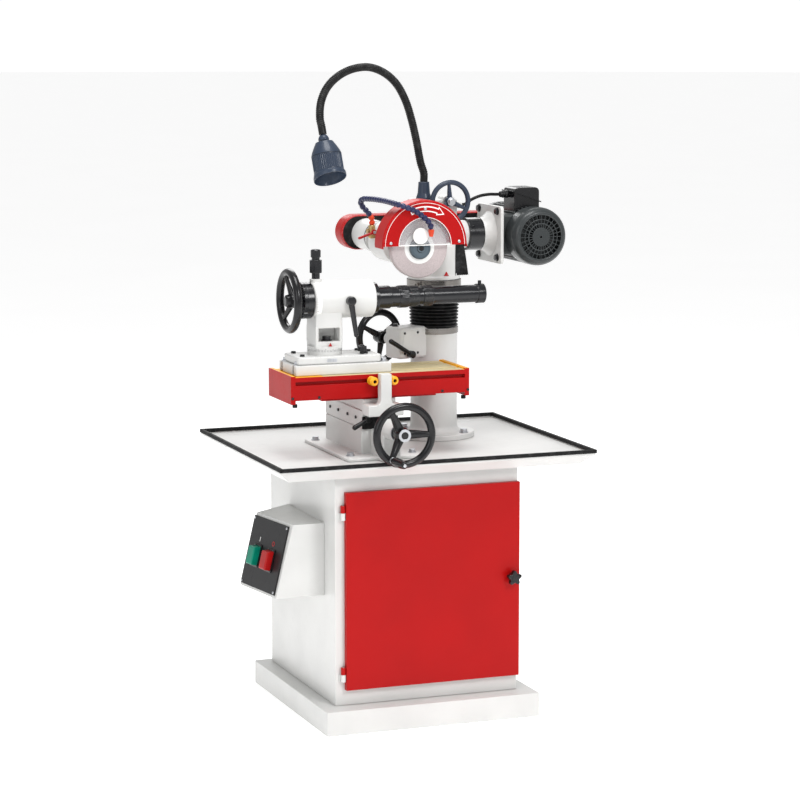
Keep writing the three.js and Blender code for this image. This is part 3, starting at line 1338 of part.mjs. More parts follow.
function makeMotor() {
  const ringDisc = turned(
    [
      [0, 0], [bracket.ring, 0], [bracket.ring, bracket.ringLength], [bracket.cone, bracket.ringLength],
      [bracket.coneFoot, bracket.ringLength + bracket.coneLength + weld],
      [0, bracket.ringLength + bracket.coneLength + weld],
    ],
    'x', [bracketLeft, barrel.y, barrel.z], fine,
  );
  const square = soft(
    [coneRight, barrel.y - bracket.width / 2, barrel.z - bracket.height / 2],
    [plateFace, barrel.y + bracket.width / 2, barrel.z + bracket.height / 2], bracket.edge,
  );
  piece('motor_bracket', union(ringDisc, square), 'white');

  const at = [motorX, 0, motor.z];
  const snug = fanCover.radius - fanCover.sheet - gap;
  const coverBack = fanCover.front + fanCover.length;
  const body = turned(
    [
      [motor.shaft + running, motor.front], [snug, motor.front], [snug, coverBack],
      [motor.radius, coverBack], [motor.radius, motor.back], [motor.shaft + running, motor.back],
      [motor.shaft + running, motor.front],
    ],
    'y', at, fine,
  );
  const foot = block(
    [plateFace + gap, barrel.y - motor.padWidth / 2, barrel.z - motor.padHeight / 2],
    [motorX - motor.radius + motor.pad, barrel.y + motor.padWidth / 2, barrel.z + motor.padHeight / 2],
  );
  const fins = [];
  const finRoot = motor.radius * Math.cos(Math.PI / fine) - weld;
  for (let i = 0; i < motor.fins; i += 1) {
    const angle = (i * 2 * Math.PI) / motor.fins;
    const fin = block(
      [finRoot, motor.finFront, -motor.finWidth / 2],
      [motor.radius + motor.finHeight, motor.finBack, motor.finWidth / 2],
    );
    const matrix = new THREE.Matrix4().makeRotationY(-angle).setPosition(motorX, 0, motor.z);
    fins.push(fin.transform(matrix.elements));
  }
  const core = drill('y', motor.shaft + running, 2 * motor.back, at, coarse);
  piece('motor_body', without(union(body, foot, ...fins), core), 'motorGreen');

  const can = turned(
    [
      [0, fanCover.front], [fanCover.radius - fanCover.edge, fanCover.front],
      [fanCover.radius, fanCover.front + fanCover.edge], [fanCover.radius, coverBack],
      [fanCover.radius - fanCover.sheet, coverBack],
      [fanCover.radius - fanCover.sheet, fanCover.front + fanCover.edge],
      [fanCover.radius - fanCover.edge, fanCover.front + fanCover.sheet],
      [0, fanCover.front + fanCover.sheet],
    ],
    'y', at, fine,
  );
  const grilleAt = [motorX, fanCover.front - overrun, motor.z];
  let openings = tubeRing('y', fanCover.hub, fanCover.grille, 2 * fanCover.edge, grilleAt);
  for (let i = 0; i < fanCover.spokes; i += 1) {
    const angle = (i * 2 * Math.PI) / fanCover.spokes;
    const rib = block(
      [0, fanCover.front - 2 * overrun, -fanCover.spokeWidth / 2],
      [fanCover.radius, fanCover.front + 3 * fanCover.edge, fanCover.spokeWidth / 2],
    );
    const matrix = new THREE.Matrix4().makeRotationY(-angle).setPosition(motorX, 0, motor.z);
    openings = without(openings, rib.transform(matrix.elements));
  }
  piece('motor_fan_cover', without(can, openings), 'motorGreen');

  const grooveFront = pulley.front + pulley.flange;
  const grooveBack = grooveFront + pulley.groove;
  const pulleyBack = grooveBack + pulley.flange;
  const rim = pulley.motorRadius + pulley.rim;
  const fanBack = fan.front + fan.thickness;
  const rotor = turned(
    [
      [0, fan.front], [fan.radius, fan.front], [fan.radius, fanBack], [motor.shaft, fanBack],
      [motor.shaft, pulley.front], [rim, pulley.front], [rim, grooveFront], [pulley.motorRadius, grooveFront],
      [pulley.motorRadius, grooveBack], [rim, grooveBack], [rim, pulleyBack], [0, pulleyBack],
    ],
    'y', at,
  );
  piece('motor_rotor', rotor, 'steel');

  // The terminal box's lid meets the box on a slope, where both have a lip
  const boxX = motorX - terminalBox.offset;
  const [boxLeft, boxRight] = [boxX - terminalBox.width / 2, boxX + terminalBox.width / 2];
  const boxBottom = motor.z + motor.radius - terminalBox.sink;
  const chamfer = terminalBox.corner;
  const caseOutline = [
    [boxLeft, boxBottom], [boxRight, boxBottom], [boxRight, terminalBox.top - chamfer],
    [boxRight - chamfer, terminalBox.top], [boxLeft + chamfer, terminalBox.top],
    [boxLeft, terminalBox.top - chamfer],
  ];
  const lipOutline = [
    [boxLeft - terminalBox.overhang, terminalBox.lidHigh - terminalBox.lip],
    [boxRight + terminalBox.overhang, terminalBox.lidLow - terminalBox.lip],
    [boxRight + terminalBox.overhang, terminalBox.lidLow],
    [boxLeft - terminalBox.overhang, terminalBox.lidHigh],
  ];
  const boxFront = terminalBox.y - terminalBox.depth / 2;
  const boxBack = terminalBox.y + terminalBox.depth / 2;
  const boxed = slab(outlineShape(caseOutline), boxFront, boxBack);
  const lip = slab(
    outlineShape(lipOutline), boxFront - terminalBox.overhang, boxBack + terminalBox.overhang,
  );
  const glandLeft = boxLeft - terminalBox.glandLength;
  const glandRun = terminalBox.glandLength + weld;
  const gland = rod('x', terminalBox.gland, glandRun, [glandLeft, terminalBox.y, cable.high], coarse);
  const clearance = drill('y', motor.radius + motor.finHeight + gap, 2 * motor.back, at, fine);
  piece('terminal_box', without(union(boxed, lip, gland), clearance), 'black');

  const start = topRight + headTop.gland + gap;
  const end = glandLeft - gap;
  const path = new THREE.CatmullRomCurve3(
    cable.routeShares.map(([share, rise]) => new THREE.Vector3(
      start + (end - start) * share, terminalBox.y, cable.low + (cable.high - cable.low) * rise,
    )),
    false, 'centripetal',
  );
  const circle = new THREE.Shape();
  circle.absarc(0, 0, cable.radius, 0, 2 * Math.PI, false);
  const options = {
    steps: cable.steps, bevelEnabled: false, extrudePath: path, curveSegments: cable.arcSteps,
  };
  piece('motor_cable', placed(new THREE.ExtrudeGeometry(circle, options)), 'rubber');
}

// A ribbed tube with a bore along a smooth path: two rings to a rib, a bore ring every few ribs
function ribbed(route, size) {
  const path = new THREE.CatmullRomCurve3(route.map((p) => new THREE.Vector3(...p)), false, 'centripetal');
  path.arcLengthDivisions = lengthSteps;
  const length = path.getLength();
  const ribs = Math.round(length / size.pitch);
  const frames = path.computeFrenetFrames(2 * ribs, false);
  const points = [];
  const ring = (station, radius) => {
    const centre = path.getPointAt(station / (2 * ribs));
    const [normal, binormal] = [frames.normals[station], frames.binormals[station]];
    const first = points.length / 3;
    for (let i = 0; i < tiny; i += 1) {
      const angle = (i * 2 * Math.PI) / tiny;
      const at = centre.clone().addScaledVector(normal, radius * Math.cos(angle));
      at.addScaledVector(binormal, radius * Math.sin(angle));
      points.push(at.x, at.y, at.z);
    }
    return first;
  };
  const outer = [];
  for (let s = 0; s <= 2 * ribs; s += 1) outer.push(ring(s, s % 2 ? size.radius : size.valley));
  const inner = [];
  for (let s = 0; s < 2 * ribs; s += size.boreEvery) inner.push(ring(s, size.bore));
  inner.push(ring(2 * ribs, size.bore));
  const faces = [];
  const join = (a, b) => {
    for (let i = 0; i < tiny; i += 1) {
      const next = (i + 1) % tiny;
      faces.push(a + i, a + next, b + next, a + i, b + next, b + i);
    }
  };
  for (let i = 1; i < outer.length; i += 1) join(outer[i - 1], outer[i]);
  for (let i = 1; i < inner.length; i += 1) join(inner[i], inner[i - 1]);
  join(inner[0], outer[0]);
  join(outer[outer.length - 1], inner[inner.length - 1]);
  const geometry = new THREE.BufferGeometry();
  geometry.setAttribute('position', new THREE.Float32BufferAttribute(points, 3));
  geometry.setIndex(faces);
  return solid(geometry);
}

const valveTop = valve.z + valve.length / 2;
const valveX = spindleX - clampRing.radius - valve.stand;

function makeCoolant() {
  const body = rod('z', valve.body, valve.length, [valveX, valve.y, valve.z - valve.length / 2], coarse);
  const port = rod('x', valve.port, clampRing.radius, [valveX, valve.y, valve.z], coarse);
  const ringClear = drill(
    'y', clampRing.radius + gap, clampRing.back, [spindleX, 0, spindleZ], fine,
  );
  const stubLength = valve.body + valve.stemLength;
  const stub = rod('y', valve.stem, stubLength, [valveX, valve.y - stubLength, valve.z], coarse);
  piece('coolant_valve', without(union(body, port, stub), ringClear), 'brass');

  const face = valve.y - valve.body - valve.stemLength - gap;
  const thick = valve.leverThickness;
  const tip = [valveX - valve.leverReach, face - thick / 2, valve.z - valve.leverFall];
  const handle = union(
    rod('y', valve.leverBoss, thick, [valveX, face - thick, valve.z], coarse),
    bar([valveX, face - thick / 2, valve.z], tip, thick / 2, thick / 2, tiny), ball(tip, thick / 2),
  );
  piece('coolant_valve_lever', handle, 'red');

  const route = [[valveX, valve.y, valveTop + gap], ...hose.route, hose.end];
  const [ex, ey, ez] = hose.end;
  const tipProfile = [
    [hose.bore, 0], [hose.valley, 0], [hose.valley, -nozzle.shoulder], [nozzle.tip, -nozzle.length],
    [nozzle.hole, -nozzle.length], [nozzle.hole, -nozzle.shoulder], [hose.bore, 0],
  ];
  const spray = turned(tipProfile, 'z', [ex, ey, ez + hose.overlap], coarse);
  piece('coolant_hose', union(ribbed(route, hose), spray), 'navy');
}

function makeLamp() {
  const foot = headTop.high + gap;
  const waist = lampBase.height * lampBase.waistShare;
  const base = turned(
    [
      [0, 0], [lampBase.flare, 0], [lampBase.flare, lampBase.edge], [lampBase.waist, waist],
      [lampBase.radius, lampBase.height - lampBase.edge], [lampBase.radius, lampBase.height],
      [0, lampBase.height],
    ],
    'z', [lampX, lampY, foot], coarse,
  );
  piece('lamp_base', base, 'slate');

  const down = new THREE.Vector3(...shade.aim).sub(new THREE.Vector3(...shade.top)).normalize();
  const end = new THREE.Vector3(...shade.top).addScaledVector(down, shade.seat);
  const before = end.clone().addScaledVector(down, -2 * neckHose.radius);
  const top = foot + lampBase.height + gap;
  const route = [
    [lampX, lampY, top], [lampX, lampY, top + 2 * neckHose.radius], ...neckHose.route,
    before.toArray(), end.toArray(),
  ];
  piece('gooseneck', ribbed(route, neckHose), 'rubber');

  // The hood: a ball in the hose's end, a bell, a straight band and a mouth cut on a slant
  const slant = THREE.MathUtils.degToRad(shade.slant);
  const drop = shade.rim * Math.tan(slant);
  const bellTop = shade.ball + shade.stemLength;
  const seam = bellTop + shade.bell;
  const bandEnd = seam + shade.band;
  const lipTop = shade.length - drop;
  const reach = shade.length + drop + overrun;
  const roof = bellTop + shade.bell * shade.roofShare;
  const profile = [];
  for (let i = 0; i < tiny; i += 1) {
    const angle = (i * quarter) / tiny;
    profile.push([shade.ball * Math.sin(angle), shade.ball - shade.ball * Math.cos(angle)]);
  }
  profile.push([shade.stem, shade.ball], [shade.stem, bellTop]);
  for (const [r, d] of shade.bellShares) profile.push([shade.radius * r, bellTop + shade.bell * d]);
  const hoodBore = shade.radius - shade.wall;
  const bulbEnd = shade.length - shade.bulbInset;
  profile.push(
    [shade.radius, bandEnd], [shade.rim, lipTop], [shade.rim, reach], [shade.rim - shade.wall, reach],
    [shade.rim - shade.wall, lipTop], [hoodBore, bandEnd], [hoodBore, seam], [shade.bulbNeck, roof],
    [shade.bulb, bulbEnd - shade.bulbTip], [shade.bulbTip, bulbEnd], [0, bulbEnd],
  );
  const turn = new THREE.Quaternion().setFromUnitVectors(new THREE.Vector3(0, 0, 1), down);
  const near = new THREE.Vector3(0, -1, 0).applyQuaternion(turn.clone().invert()).setZ(0).normalize();
  const cut = near.multiplyScalar(-Math.sin(slant)).setZ(-Math.cos(slant));
  const whole = turned(profile, 'z', [0, 0, 0], fine);
  const hood = whole.trimByPlane(cut.toArray(), -shade.length * Math.cos(slant));
  const shown = piece('lamp_shade', hood, 'slate');
  shown.position.set(...shade.top);
  shown.quaternion.copy(turn);
}

makePlinth();
makeCabinet();
makeDoor();
makeHinge('door_hinge_lower', hinge.low);
makeHinge('door_hinge_upper', hinge.high);
makeDoorKnob();
makeSwitch();
makeTray();
makeSlideBase();
makeSaddle();
makeCrossFeed();
makeTable();
makeAttachment();
makeWorkSpindle();
makeColumn();
makeLift();
makeHead();
makeSpindle();
makeGuard();
makeDrive();
makeMotor();
makeCoolant();
makeLamp();

export default machine;
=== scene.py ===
"""The looks of a tool and cutter grinder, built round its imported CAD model.

Lengths in the shape functions are millimetres in the CAD frame: +X to the operator's right,
+Y away from the operator and +Z up, from the centre of the plinth's underside.
"""

import json
import math

import bmesh
import bpy
import numpy as np
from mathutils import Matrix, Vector

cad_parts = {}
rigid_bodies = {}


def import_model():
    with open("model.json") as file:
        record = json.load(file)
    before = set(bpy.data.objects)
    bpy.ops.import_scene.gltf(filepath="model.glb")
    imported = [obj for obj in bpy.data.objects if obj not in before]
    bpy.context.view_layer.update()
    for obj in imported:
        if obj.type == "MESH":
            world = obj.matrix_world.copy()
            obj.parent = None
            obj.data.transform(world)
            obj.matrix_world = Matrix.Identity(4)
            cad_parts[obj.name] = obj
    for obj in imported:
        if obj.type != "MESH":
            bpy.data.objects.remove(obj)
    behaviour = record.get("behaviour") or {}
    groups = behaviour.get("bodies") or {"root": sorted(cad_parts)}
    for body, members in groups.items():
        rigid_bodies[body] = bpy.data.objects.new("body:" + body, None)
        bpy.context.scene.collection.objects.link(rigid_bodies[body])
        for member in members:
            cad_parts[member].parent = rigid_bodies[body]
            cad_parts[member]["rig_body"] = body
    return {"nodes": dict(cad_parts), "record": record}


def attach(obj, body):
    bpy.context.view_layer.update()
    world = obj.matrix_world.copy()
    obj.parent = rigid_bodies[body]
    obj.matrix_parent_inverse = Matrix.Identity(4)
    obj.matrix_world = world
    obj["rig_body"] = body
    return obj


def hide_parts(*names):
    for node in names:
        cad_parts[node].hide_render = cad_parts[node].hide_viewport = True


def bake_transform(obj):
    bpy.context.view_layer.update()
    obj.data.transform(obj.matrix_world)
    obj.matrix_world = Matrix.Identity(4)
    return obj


bl_info = {
    "name": "Tool and cutter grinder",
    "version": (1, 0, 0),
    "blender": (4, 5, 0),
    "location": "3D View > Sidebar > Grinder",
    "description": "Builds the visible pieces of a tool and cutter grinder round its CAD frame",
    "category": "Object",
}

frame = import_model()
NODES = frame["nodes"]
SLOT_OF = {s["node"]: s["material_slot"] for s in frame["record"]["subparts"]}
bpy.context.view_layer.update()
MM = 0.001
X, Y, Z = np.eye(3)


def tone(red, green, blue):
    """The linear colour of a screen colour: ((c + 0.055) / 1.055) ** 2.4, or c / 12.92 near black."""
    c = np.array([red, green, blue]) / 255
    linear = np.where(c < 0.04045, c / 12.92, ((c + 0.055) / 1.055) ** 2.4)
    return tuple(float(v) for v in linear)


# Settings


def colour(name, description, *rgb):
    """A colour setting whose default is a screen colour."""
    return bpy.props.FloatVectorProperty(
        name=name, description=description, default=tone(*rgb), min=0, max=1, subtype="COLOR"
    )


def length(name, description, default):
    """A length setting in metres."""
    return bpy.props.FloatProperty(
        name=name, description=description, default=default, min=0, unit="LENGTH"
    )


class GrinderColours(bpy.types.PropertyGroup):
    """The colours of the machine's paints, plastics and metals."""

    white: colour("White paint", "Cabinet, tray and castings", 208, 208, 206)
    red: colour("Red paint", "Door, table, guard and belt cover", 166, 10, 11)
    slate: colour("Slate paint", "Lamp and head handwheel", 42, 53, 70)
    motor: colour("Motor paint", "Motor frame and fan cover", 42, 46, 47)
    black: colour("Black plastic", "Handwheels, levers and knobs", 20, 20, 22)
    rubber: colour("Rubber", "Bellows, trim and flap", 12, 12, 13)
    oxide: colour("Black steel", "Arbor and index plate", 15, 16, 20)
    steel: colour("Bright steel", "Bands, screws and shafts", 196, 198, 202)
    green: colour("Green button", "The start button", 0, 128, 104)
    yellow: colour("Yellow", "Stop dogs", 240, 170, 24)
    top: colour("Table top", "The ground top of the table", 212, 196, 152)
    stone: colour("Stone", "The grinding wheel", 190, 178, 178)
    brass: colour("Brass", "The coolant valve", 190, 160, 110)
    navy: colour("Navy plastic", "The coolant hose's links", 30, 36, 74)


class GrinderSizes(bpy.types.PropertyGroup):
    """The sizes that shape the pieces' edges and small fittings."""

    sheet_edge: length("Sheet edge", "Radius along folded sheet edges", 0.0022)
    turns: bpy.props.IntProperty(
        name="Round steps", description="Steps round a turned piece", default=72, min=24, max=160
    )
    bellows_folds: bpy.props.IntProperty(
        name="Bellows folds", description="Folds of the column's bellows", default=12, min=4, max=16
    )
    neck_pitch: length("Gooseneck pitch", "Distance between the gooseneck's ribs", 0.0052)


def colours():
    return bpy.context.scene.grinder_colours


def sizes():
    return bpy.context.scene.grinder_sizes


# Shapes


class Shape:
    """Points, the faces between them, and how much each point lies on a rounded edge."""

    def __init__(self, points, faces, rim=None):
        self.points = np.asarray(points, float).reshape(-1, 3)
        self.faces = faces
        self.rim = np.zeros(len(self.points)) if rim is None else np.asarray(rim, float).ravel()

    def __add__(self, other):
        start = len(self.points)
        faces = self.faces + [f + start for f in other.faces]
        return Shape(
            np.vstack([self.points, other.points]), faces, np.concatenate([self.rim, other.rim])
        )

    def put(self, at=(0, 0, 0), rows=None):
        """The shape with its own axes along the rows and its origin at a point."""
        points = self.points if rows is None else self.points @ np.asarray(rows, float)
        return Shape(points + np.asarray(at, float), self.faces, self.rim)


def joined(shapes):
    """One shape of several."""
    shapes = list(shapes)
    whole = shapes[0]
    for s in shapes[1:]:
        whole = whole + s
    return whole


def unit(v):
    v = np.asarray(v, float)
    return v / np.linalg.norm(v)


def full_turn(count):
    """Angles at even steps round a whole turn."""
    return np.linspace(0, 2 * np.pi, count + 1)[:-1]


def polar(reach, angle):
    """Points of a plane at distances and angles from its centre."""
    return np.stack([reach * np.cos(angle), reach * np.sin(angle)], -1)


def distances(line):
    """How far along a line each of its points lies."""
    return np.concatenate([[0], np.cumsum(np.linalg.norm(np.diff(line, axis=0), axis=1))])


def across(axis):
    """Two directions across an axis and the axis itself, as rows."""
    w = unit(axis)
    u = np.cross(Z if abs(w[2]) < 0.9 else X, w)
    u = unit(u)
    return np.array([u, np.cross(w, u), w])


LIE = {"x": np.array([Y, Z, X]), "y": np.array([X, Z, Y]), "z": np.array([X, Y, Z])}


def lie(axis):
    """The rows that lay a shape's third axis along x, y, z or any direction."""
    return LIE[axis] if isinstance(axis, str) else across(axis)


def skin(points, closed=(False, True), caps=(False, False), rim=None):
    """The faces of an n by m sheet of points: one joins (i, j), (i+1, j), (i+1, j+1) and (i, j+1)."""
    n, m = points.shape[:2]
    number = np.arange(n * m).reshape(n, m)
    rows = np.vstack([number, number[:1]]) if closed[0] else number
    rows = np.hstack([rows, rows[:, :1]]) if closed[1] else rows
    quads = np.stack([rows[:-1, :-1], rows[1:, :-1], rows[1:, 1:], rows[:-1, 1:]], -1)
    faces = list(quads.reshape(-1, 4))
    if caps[0]:
        faces.append(number[0][::-1])
    if caps[1]:
        faces.append(number[-1])
    return Shape(points, faces, rim)


def softened(points, radius, steps=4, closed=True):
    """Each corner c becomes the curve (1-t)^2 a + 2t(1-t) c + t^2 b, where a and b lie on the two
    sides, a radius away or at most 0.45 of the side. Also gives the bow 4t(1-t) of each new point,
    scaled by how sharply the corner turns."""
    p = np.asarray(points, float)
    before = np.roll(p, 1, 0) - p
    after = np.roll(p, -1, 0) - p
    lb = np.maximum(np.linalg.norm(before, axis=1, keepdims=True), 1e-9)
    la = np.maximum(np.linalg.norm(after, axis=1, keepdims=True), 1e-9)
    cut = np.minimum(np.broadcast_to(np.reshape(radius, (-1, 1)), lb.shape), 0.45 * np.minimum(lb, la))
    if not closed:
        cut[[0, -1]] = 0
    turn = 0.5 * (1 + np.sum(before / lb * after / la, axis=1))
    a = (p + before / lb * cut)[:, None]
    b = (p + after / la * cut)[:, None]
    t = np.linspace(0, 1, steps + 1)[None, :, None]
    curve = (1 - t) ** 2 * a + 2 * t * (1 - t) * p[:, None] + t**2 * b
    bow = 4 * t[..., 0] * (1 - t[..., 0]) * np.clip(2 * turn, 0, 1)[:, None]
    curve, bow = curve.reshape(-1, p.shape[1]), bow.ravel()
    step = np.linalg.norm(curve - np.roll(curve, 1, 0), axis=1)
    keep = step > 1e-6
    keep[0] = True
    return curve[keep], bow[keep]


def with_levels(profile, bow, levels):
    """The profile with a point added wherever it crosses one of the distances."""
    for level in levels:
        d = profile[:, 1] - level
        i = np.flatnonzero(d[:-1] * d[1:] < 0)
        share = (d[i] / (d[i] - d[i + 1]))[:, None]
        profile = np.insert(profile, i + 1, profile[i] + share * (profile[i + 1] - profile[i]), 0)
        bow = np.insert(bow, i + 1, 0)
    return profile, bow


def lathe(profile, at=(0, 0, 0), axis="z", edge=0.8, steps=3, closed=False, flute=None, turns=None):
    """A profile of (radius, distance) turned about an axis: the point at angle a is
    r cos a along the first direction, r sin a along the second and d along the axis.
    flute is (count, depth, low, high): the radius loses depth * (1 - cos(count a)) / 2 there."""
    p, bow = softened(profile, edge, steps, closed)
    if flute:
        count, depth, low, high = flute
        p, bow = with_levels(p, bow, (low - 0.3, low, high, high + 0.3))
        a = full_turn(8 * count)
        held = (p[:, 1] >= low) & (p[:, 1] <= high)
        held = held & (p[:, 0] > 0.8 * p[held, 0].max())
        r = p[:, :1] - held[:, None] * depth * (1 - np.cos(count * a)) / 2
    else:
        a = full_turn(turns or sizes().turns)
        r = np.repeat(p[:, :1], len(a), 1)
    points = np.stack([r * np.cos(a), r * np.sin(a), np.repeat(p[:, 1:], len(a), 1)], -1)
    rim = np.repeat(bow[:, None], len(a), 1)
    return skin(points, (closed, True), rim=rim).put(at, lie(axis))


def rod(radius, low, high, at=(0, 0, 0), axis="z", edge=0.8, **more):
    """A solid round bar from one distance to another along an axis."""
    return lathe([(0, low), (radius, low), (radius, high), (0, high)], at, axis, edge, **more)


def ring(inner, outer, low, high, at=(0, 0, 0), axis="z", edge=0.8, **more):
    """A round tube with a wall from one radius to another."""
    loop = [(inner, low), (outer, low), (outer, high), (inner, high)]
    return lathe(loop, at, axis, edge, closed=True, **more)


def ball(centre, radius):
    """A sphere: its profile is a half circle."""
    profile = polar(radius, np.linspace(-np.pi / 2, np.pi / 2, 17))
    profile[[0, -1], 0] = 0
    return lathe(profile, centre, "z", 0, 1, turns=32)


def bar(start, end, first, last):
    """A round bar between two points, tapered from one radius to another."""
    start, end = np.asarray(start, float), np.asarray(end, float)
    span = np.linalg.norm(end - start)
    profile = [(0, 0), (first, 0), (last, span), (0, span)]
    return lathe(profile, start, end - start, 1.0, turns=32)


def counter(points):
    """An outline turned counter-clockwise, by the sign of its area."""
    p = np.asarray(points, float)
    x, y = p.T
    area = np.sum(x * np.roll(y, -1) - np.roll(x, -1) * y)
    return p if area > 0 else p[::-1]


def inset(outline, amounts):
    """The outline drawn in by each amount: a point moves along the sum of its two sides' inward
    normals, divided by one plus their cosine."""
    side = np.roll(outline, -1, 0) - outline
    side = side / np.linalg.norm(side, axis=1, keepdims=True)
    after = np.stack([-side[:, 1], side[:, 0]], -1)
    before = np.roll(after, 1, 0)
    move = (before + after) / (1 + np.sum(before * after, axis=1, keepdims=True))
    return outline[None] + np.reshape(amounts, (-1, 1, 1)) * move[None]


def pull(outline, low, high, at=(0, 0, 0), axis="z", edge=1.5, corner=None, steps=4):
    """An outline carried from low to high along an axis. Near each end it is drawn in by
    edge * (1 - sin a) while it moves edge * (1 - cos a), which rounds its rim."""
    p = counter(outline)
    if corner:
        p = counter(softened(p, corner, 5)[0])
    a = np.linspace(0, np.pi / 2, steps + 1)
    inwards, along = edge * (1 - np.sin(a)), edge * (1 - np.cos(a))
    levels = np.concatenate([low + along, (high - along)[::-1]])
    bow = np.concatenate([np.sin(2 * a), np.sin(2 * a)[::-1]])
    rows = inset(p, np.concatenate([inwards, inwards[::-1]]))
    height = np.broadcast_to(levels[:, None, None], rows.shape[:2] + (1,))
    rim = np.broadcast_to(bow[:, None], rows.shape[:2])
    return skin(np.concatenate([rows, height], -1), caps=(True, True), rim=rim).put(at, lie(axis))


def box_outline(x0, y0, x1, y1):
    return [(x0, y0), (x1, y0), (x1, y1), (x0, y1)]


def block(low, high, edge=1.5, corner=None, axis="z", steps=4):
    """A box from its lowest to its highest corner, with rounded edges and corners."""
    rows = lie(axis)
    a, b = rows @ np.asarray(low, float), rows @ np.asarray(high, float)
    outline = box_outline(a[0], a[1], b[0], b[1])
    return pull(outline, a[2], b[2], axis=axis, edge=edge, corner=corner or 1.4 * edge, steps=steps)


def loft(sections):
    """A skin through closed outlines of as many points, each given in space."""
    return skin(np.asarray(sections, float), caps=(True, True))


def box_section(x0, y0, x1, y1, z):
    """A rounded rectangle at a height, as points in space."""
    p = softened(counter(box_outline(x0, y0, x1, y1)), 3.0, 5)[0]
    return np.c_[p, np.full(len(p), z)]


def circle(count, radius=1.0, start=0.0):
    return polar(radius, start + full_turn(count))


def arc(centre, radius, first, last, count=48):
    """Points of an arc, with its angles in degrees."""
    return np.asarray(centre, float) + polar(radius, np.radians(np.linspace(first, last, count)))


def curve_through(route, count):
    """Points at even distances on a smooth curve through the route. Each span is a cubic whose
    tangents come from its neighbours, at knots spaced by the square root of the distance."""
    p = np.asarray(route, float)
    p = np.vstack([2 * p[0] - p[1], p, 2 * p[-1] - p[-2]])
    gaps = np.sqrt(np.linalg.norm(np.diff(p, axis=0), axis=1))[:, None]
    d0, d1, d2 = gaps[:-2], gaps[1:-1], gaps[2:]
    p0, p1, p2, p3 = p[:-3], p[1:-2], p[2:-1], p[3:]
    m1 = (p2 - p1) + d1 * ((p1 - p0) / d0 - (p2 - p0) / (d0 + d1))
    m2 = (p2 - p1) + d1 * ((p3 - p2) / d2 - (p3 - p1) / (d1 + d2))
    t = np.linspace(0, 1, 41)[:-1][None, :, None]
    p1, p2, m1, m2 = p1[:, None], p2[:, None], m1[:, None], m2[:, None]
    fine = (
        (2 * t**3 - 3 * t**2 + 1) * p1
        + (t**3 - 2 * t**2 + t) * m1
        + (3 * t**2 - 2 * t**3) * p2
        + (t**3 - t**2) * m2
    ).reshape(-1, 3)
    fine = np.vstack([fine, p[-2]])
    run = distances(fine)
    want = np.linspace(0, run[-1], count)
    return np.stack([np.interp(want, run, fine[:, k]) for k in range(3)], -1)


def tube(route, radii, sides):
    """Circles of given radii carried along points. The first direction across is turned at each
    step only as far as the path turns, so the tube doesn't twist."""
    p = np.asarray(route, float)
    tangent = np.gradient(p, axis=0)
    tangent /= np.linalg.norm(tangent, axis=1, keepdims=True)
    normals = [across(tangent[0])[0]]
    for t in tangent[1:]:
        n = normals[-1] - t * (normals[-1] @ t)
        normals.append(n / np.linalg.norm(n))
    u = np.array(normals)
    v = np.cross(tangent, u)
    a = full_turn(sides)[None, :, None]
    r = np.broadcast_to(np.reshape(radii, (-1, 1, 1)), (len(p), 1, 1))
    points = p[:, None] + r * (np.cos(a) * u[:, None] + np.sin(a) * v[:, None])
    return skin(points, caps=(True, True))


def repeated(shape, places):
    """Copies of a shape at points."""
    return joined(shape.put(p) for p in places)


def spokes(shape, count, at):
    """Copies of a shape at even angles round an axis along y."""
    copies = []
    for t in 2 * np.pi * np.arange(count) / count:
        c, s = math.cos(t), math.sin(t)
        copies.append(shape.put(at, [[c, 0, s], [0, 1, 0], [-s, 0, c]]))
    return joined(copies)


def round_y(centre, radius, y, degrees):
    """Points at angles on a circle across y, whose centre is given as x and z."""
    turns = [(math.cos(t), math.sin(t)) for t in np.radians(degrees)]
    return [(centre[0] + radius * c, y, centre[1] + radius * s) for c, s in turns]


def hex_outline(width):
    return circle(6, width / 2 / math.cos(math.pi / 6), math.pi / 6)


def bolt(at, axis, width, height, washer=True):
    """A hexagon head on a washer, standing out along an axis from a point."""
    head = pull(hex_outline(width), height * 0.25, height, edge=height * 0.12, corner=width * 0.06)
    if washer:
        head = head + rod(width * 0.72, 0, height * 0.25, edge=0.4, turns=32)
    return head.put(at, across(axis))


def cap_screw(at, axis, radius, height):
    """A socket screw: a round head whose top runs in to a six-sided hole. At angle a the hole's
    radius is half its width / cos((a mod 60 degrees) - 30 degrees)."""
    a = full_turn(48)
    side = polar(1, a)
    six = side * (radius * 0.45 / np.cos(a % (np.pi / 3) - np.pi / 6))[:, None]
    rows = [(side * radius, 0), (side * radius, 0.88), (side * radius * 0.93, 1), (six, 1), (six, 0.35)]
    points = np.stack([np.c_[ring_, np.full(48, height * share)] for ring_, share in rows])
    return skin(points, caps=(True, True)).put(at, across(axis))


def dome(at, axis, radius, height):
    """A low round head."""
    profile = [(0, 0), (radius, 0), (radius * 0.92, height * 0.6), (radius * 0.5, height), (0, height)]
    return lathe(profile, edge=radius * 0.4, turns=32).put(at, across(axis))


def ticks(count, radius, run, width, depth, sweep=(0, 360), axis="z", at=(0, 0, 0)):
    """Thin blocks round a cylinder that run along its axis, half as long again at every fifth."""
    marks = []
    for i, a in enumerate(np.radians(np.linspace(sweep[0], sweep[1], count + 1)[:-1])):
        c, s = math.cos(a), math.sin(a)
        outline = box_outline(-width / 2, 0, width / 2, run * (1.0 if i % 5 else 1.5))
        mark = pull(outline, radius - depth, radius + 0.12, edge=0.02, steps=1)
        marks.append(mark.put((0, 0, 0), [[-s, c, 0], [0, 0, 1], [c, s, 0]]))
    return joined(marks).put(at, lie(axis))


# Shader maths


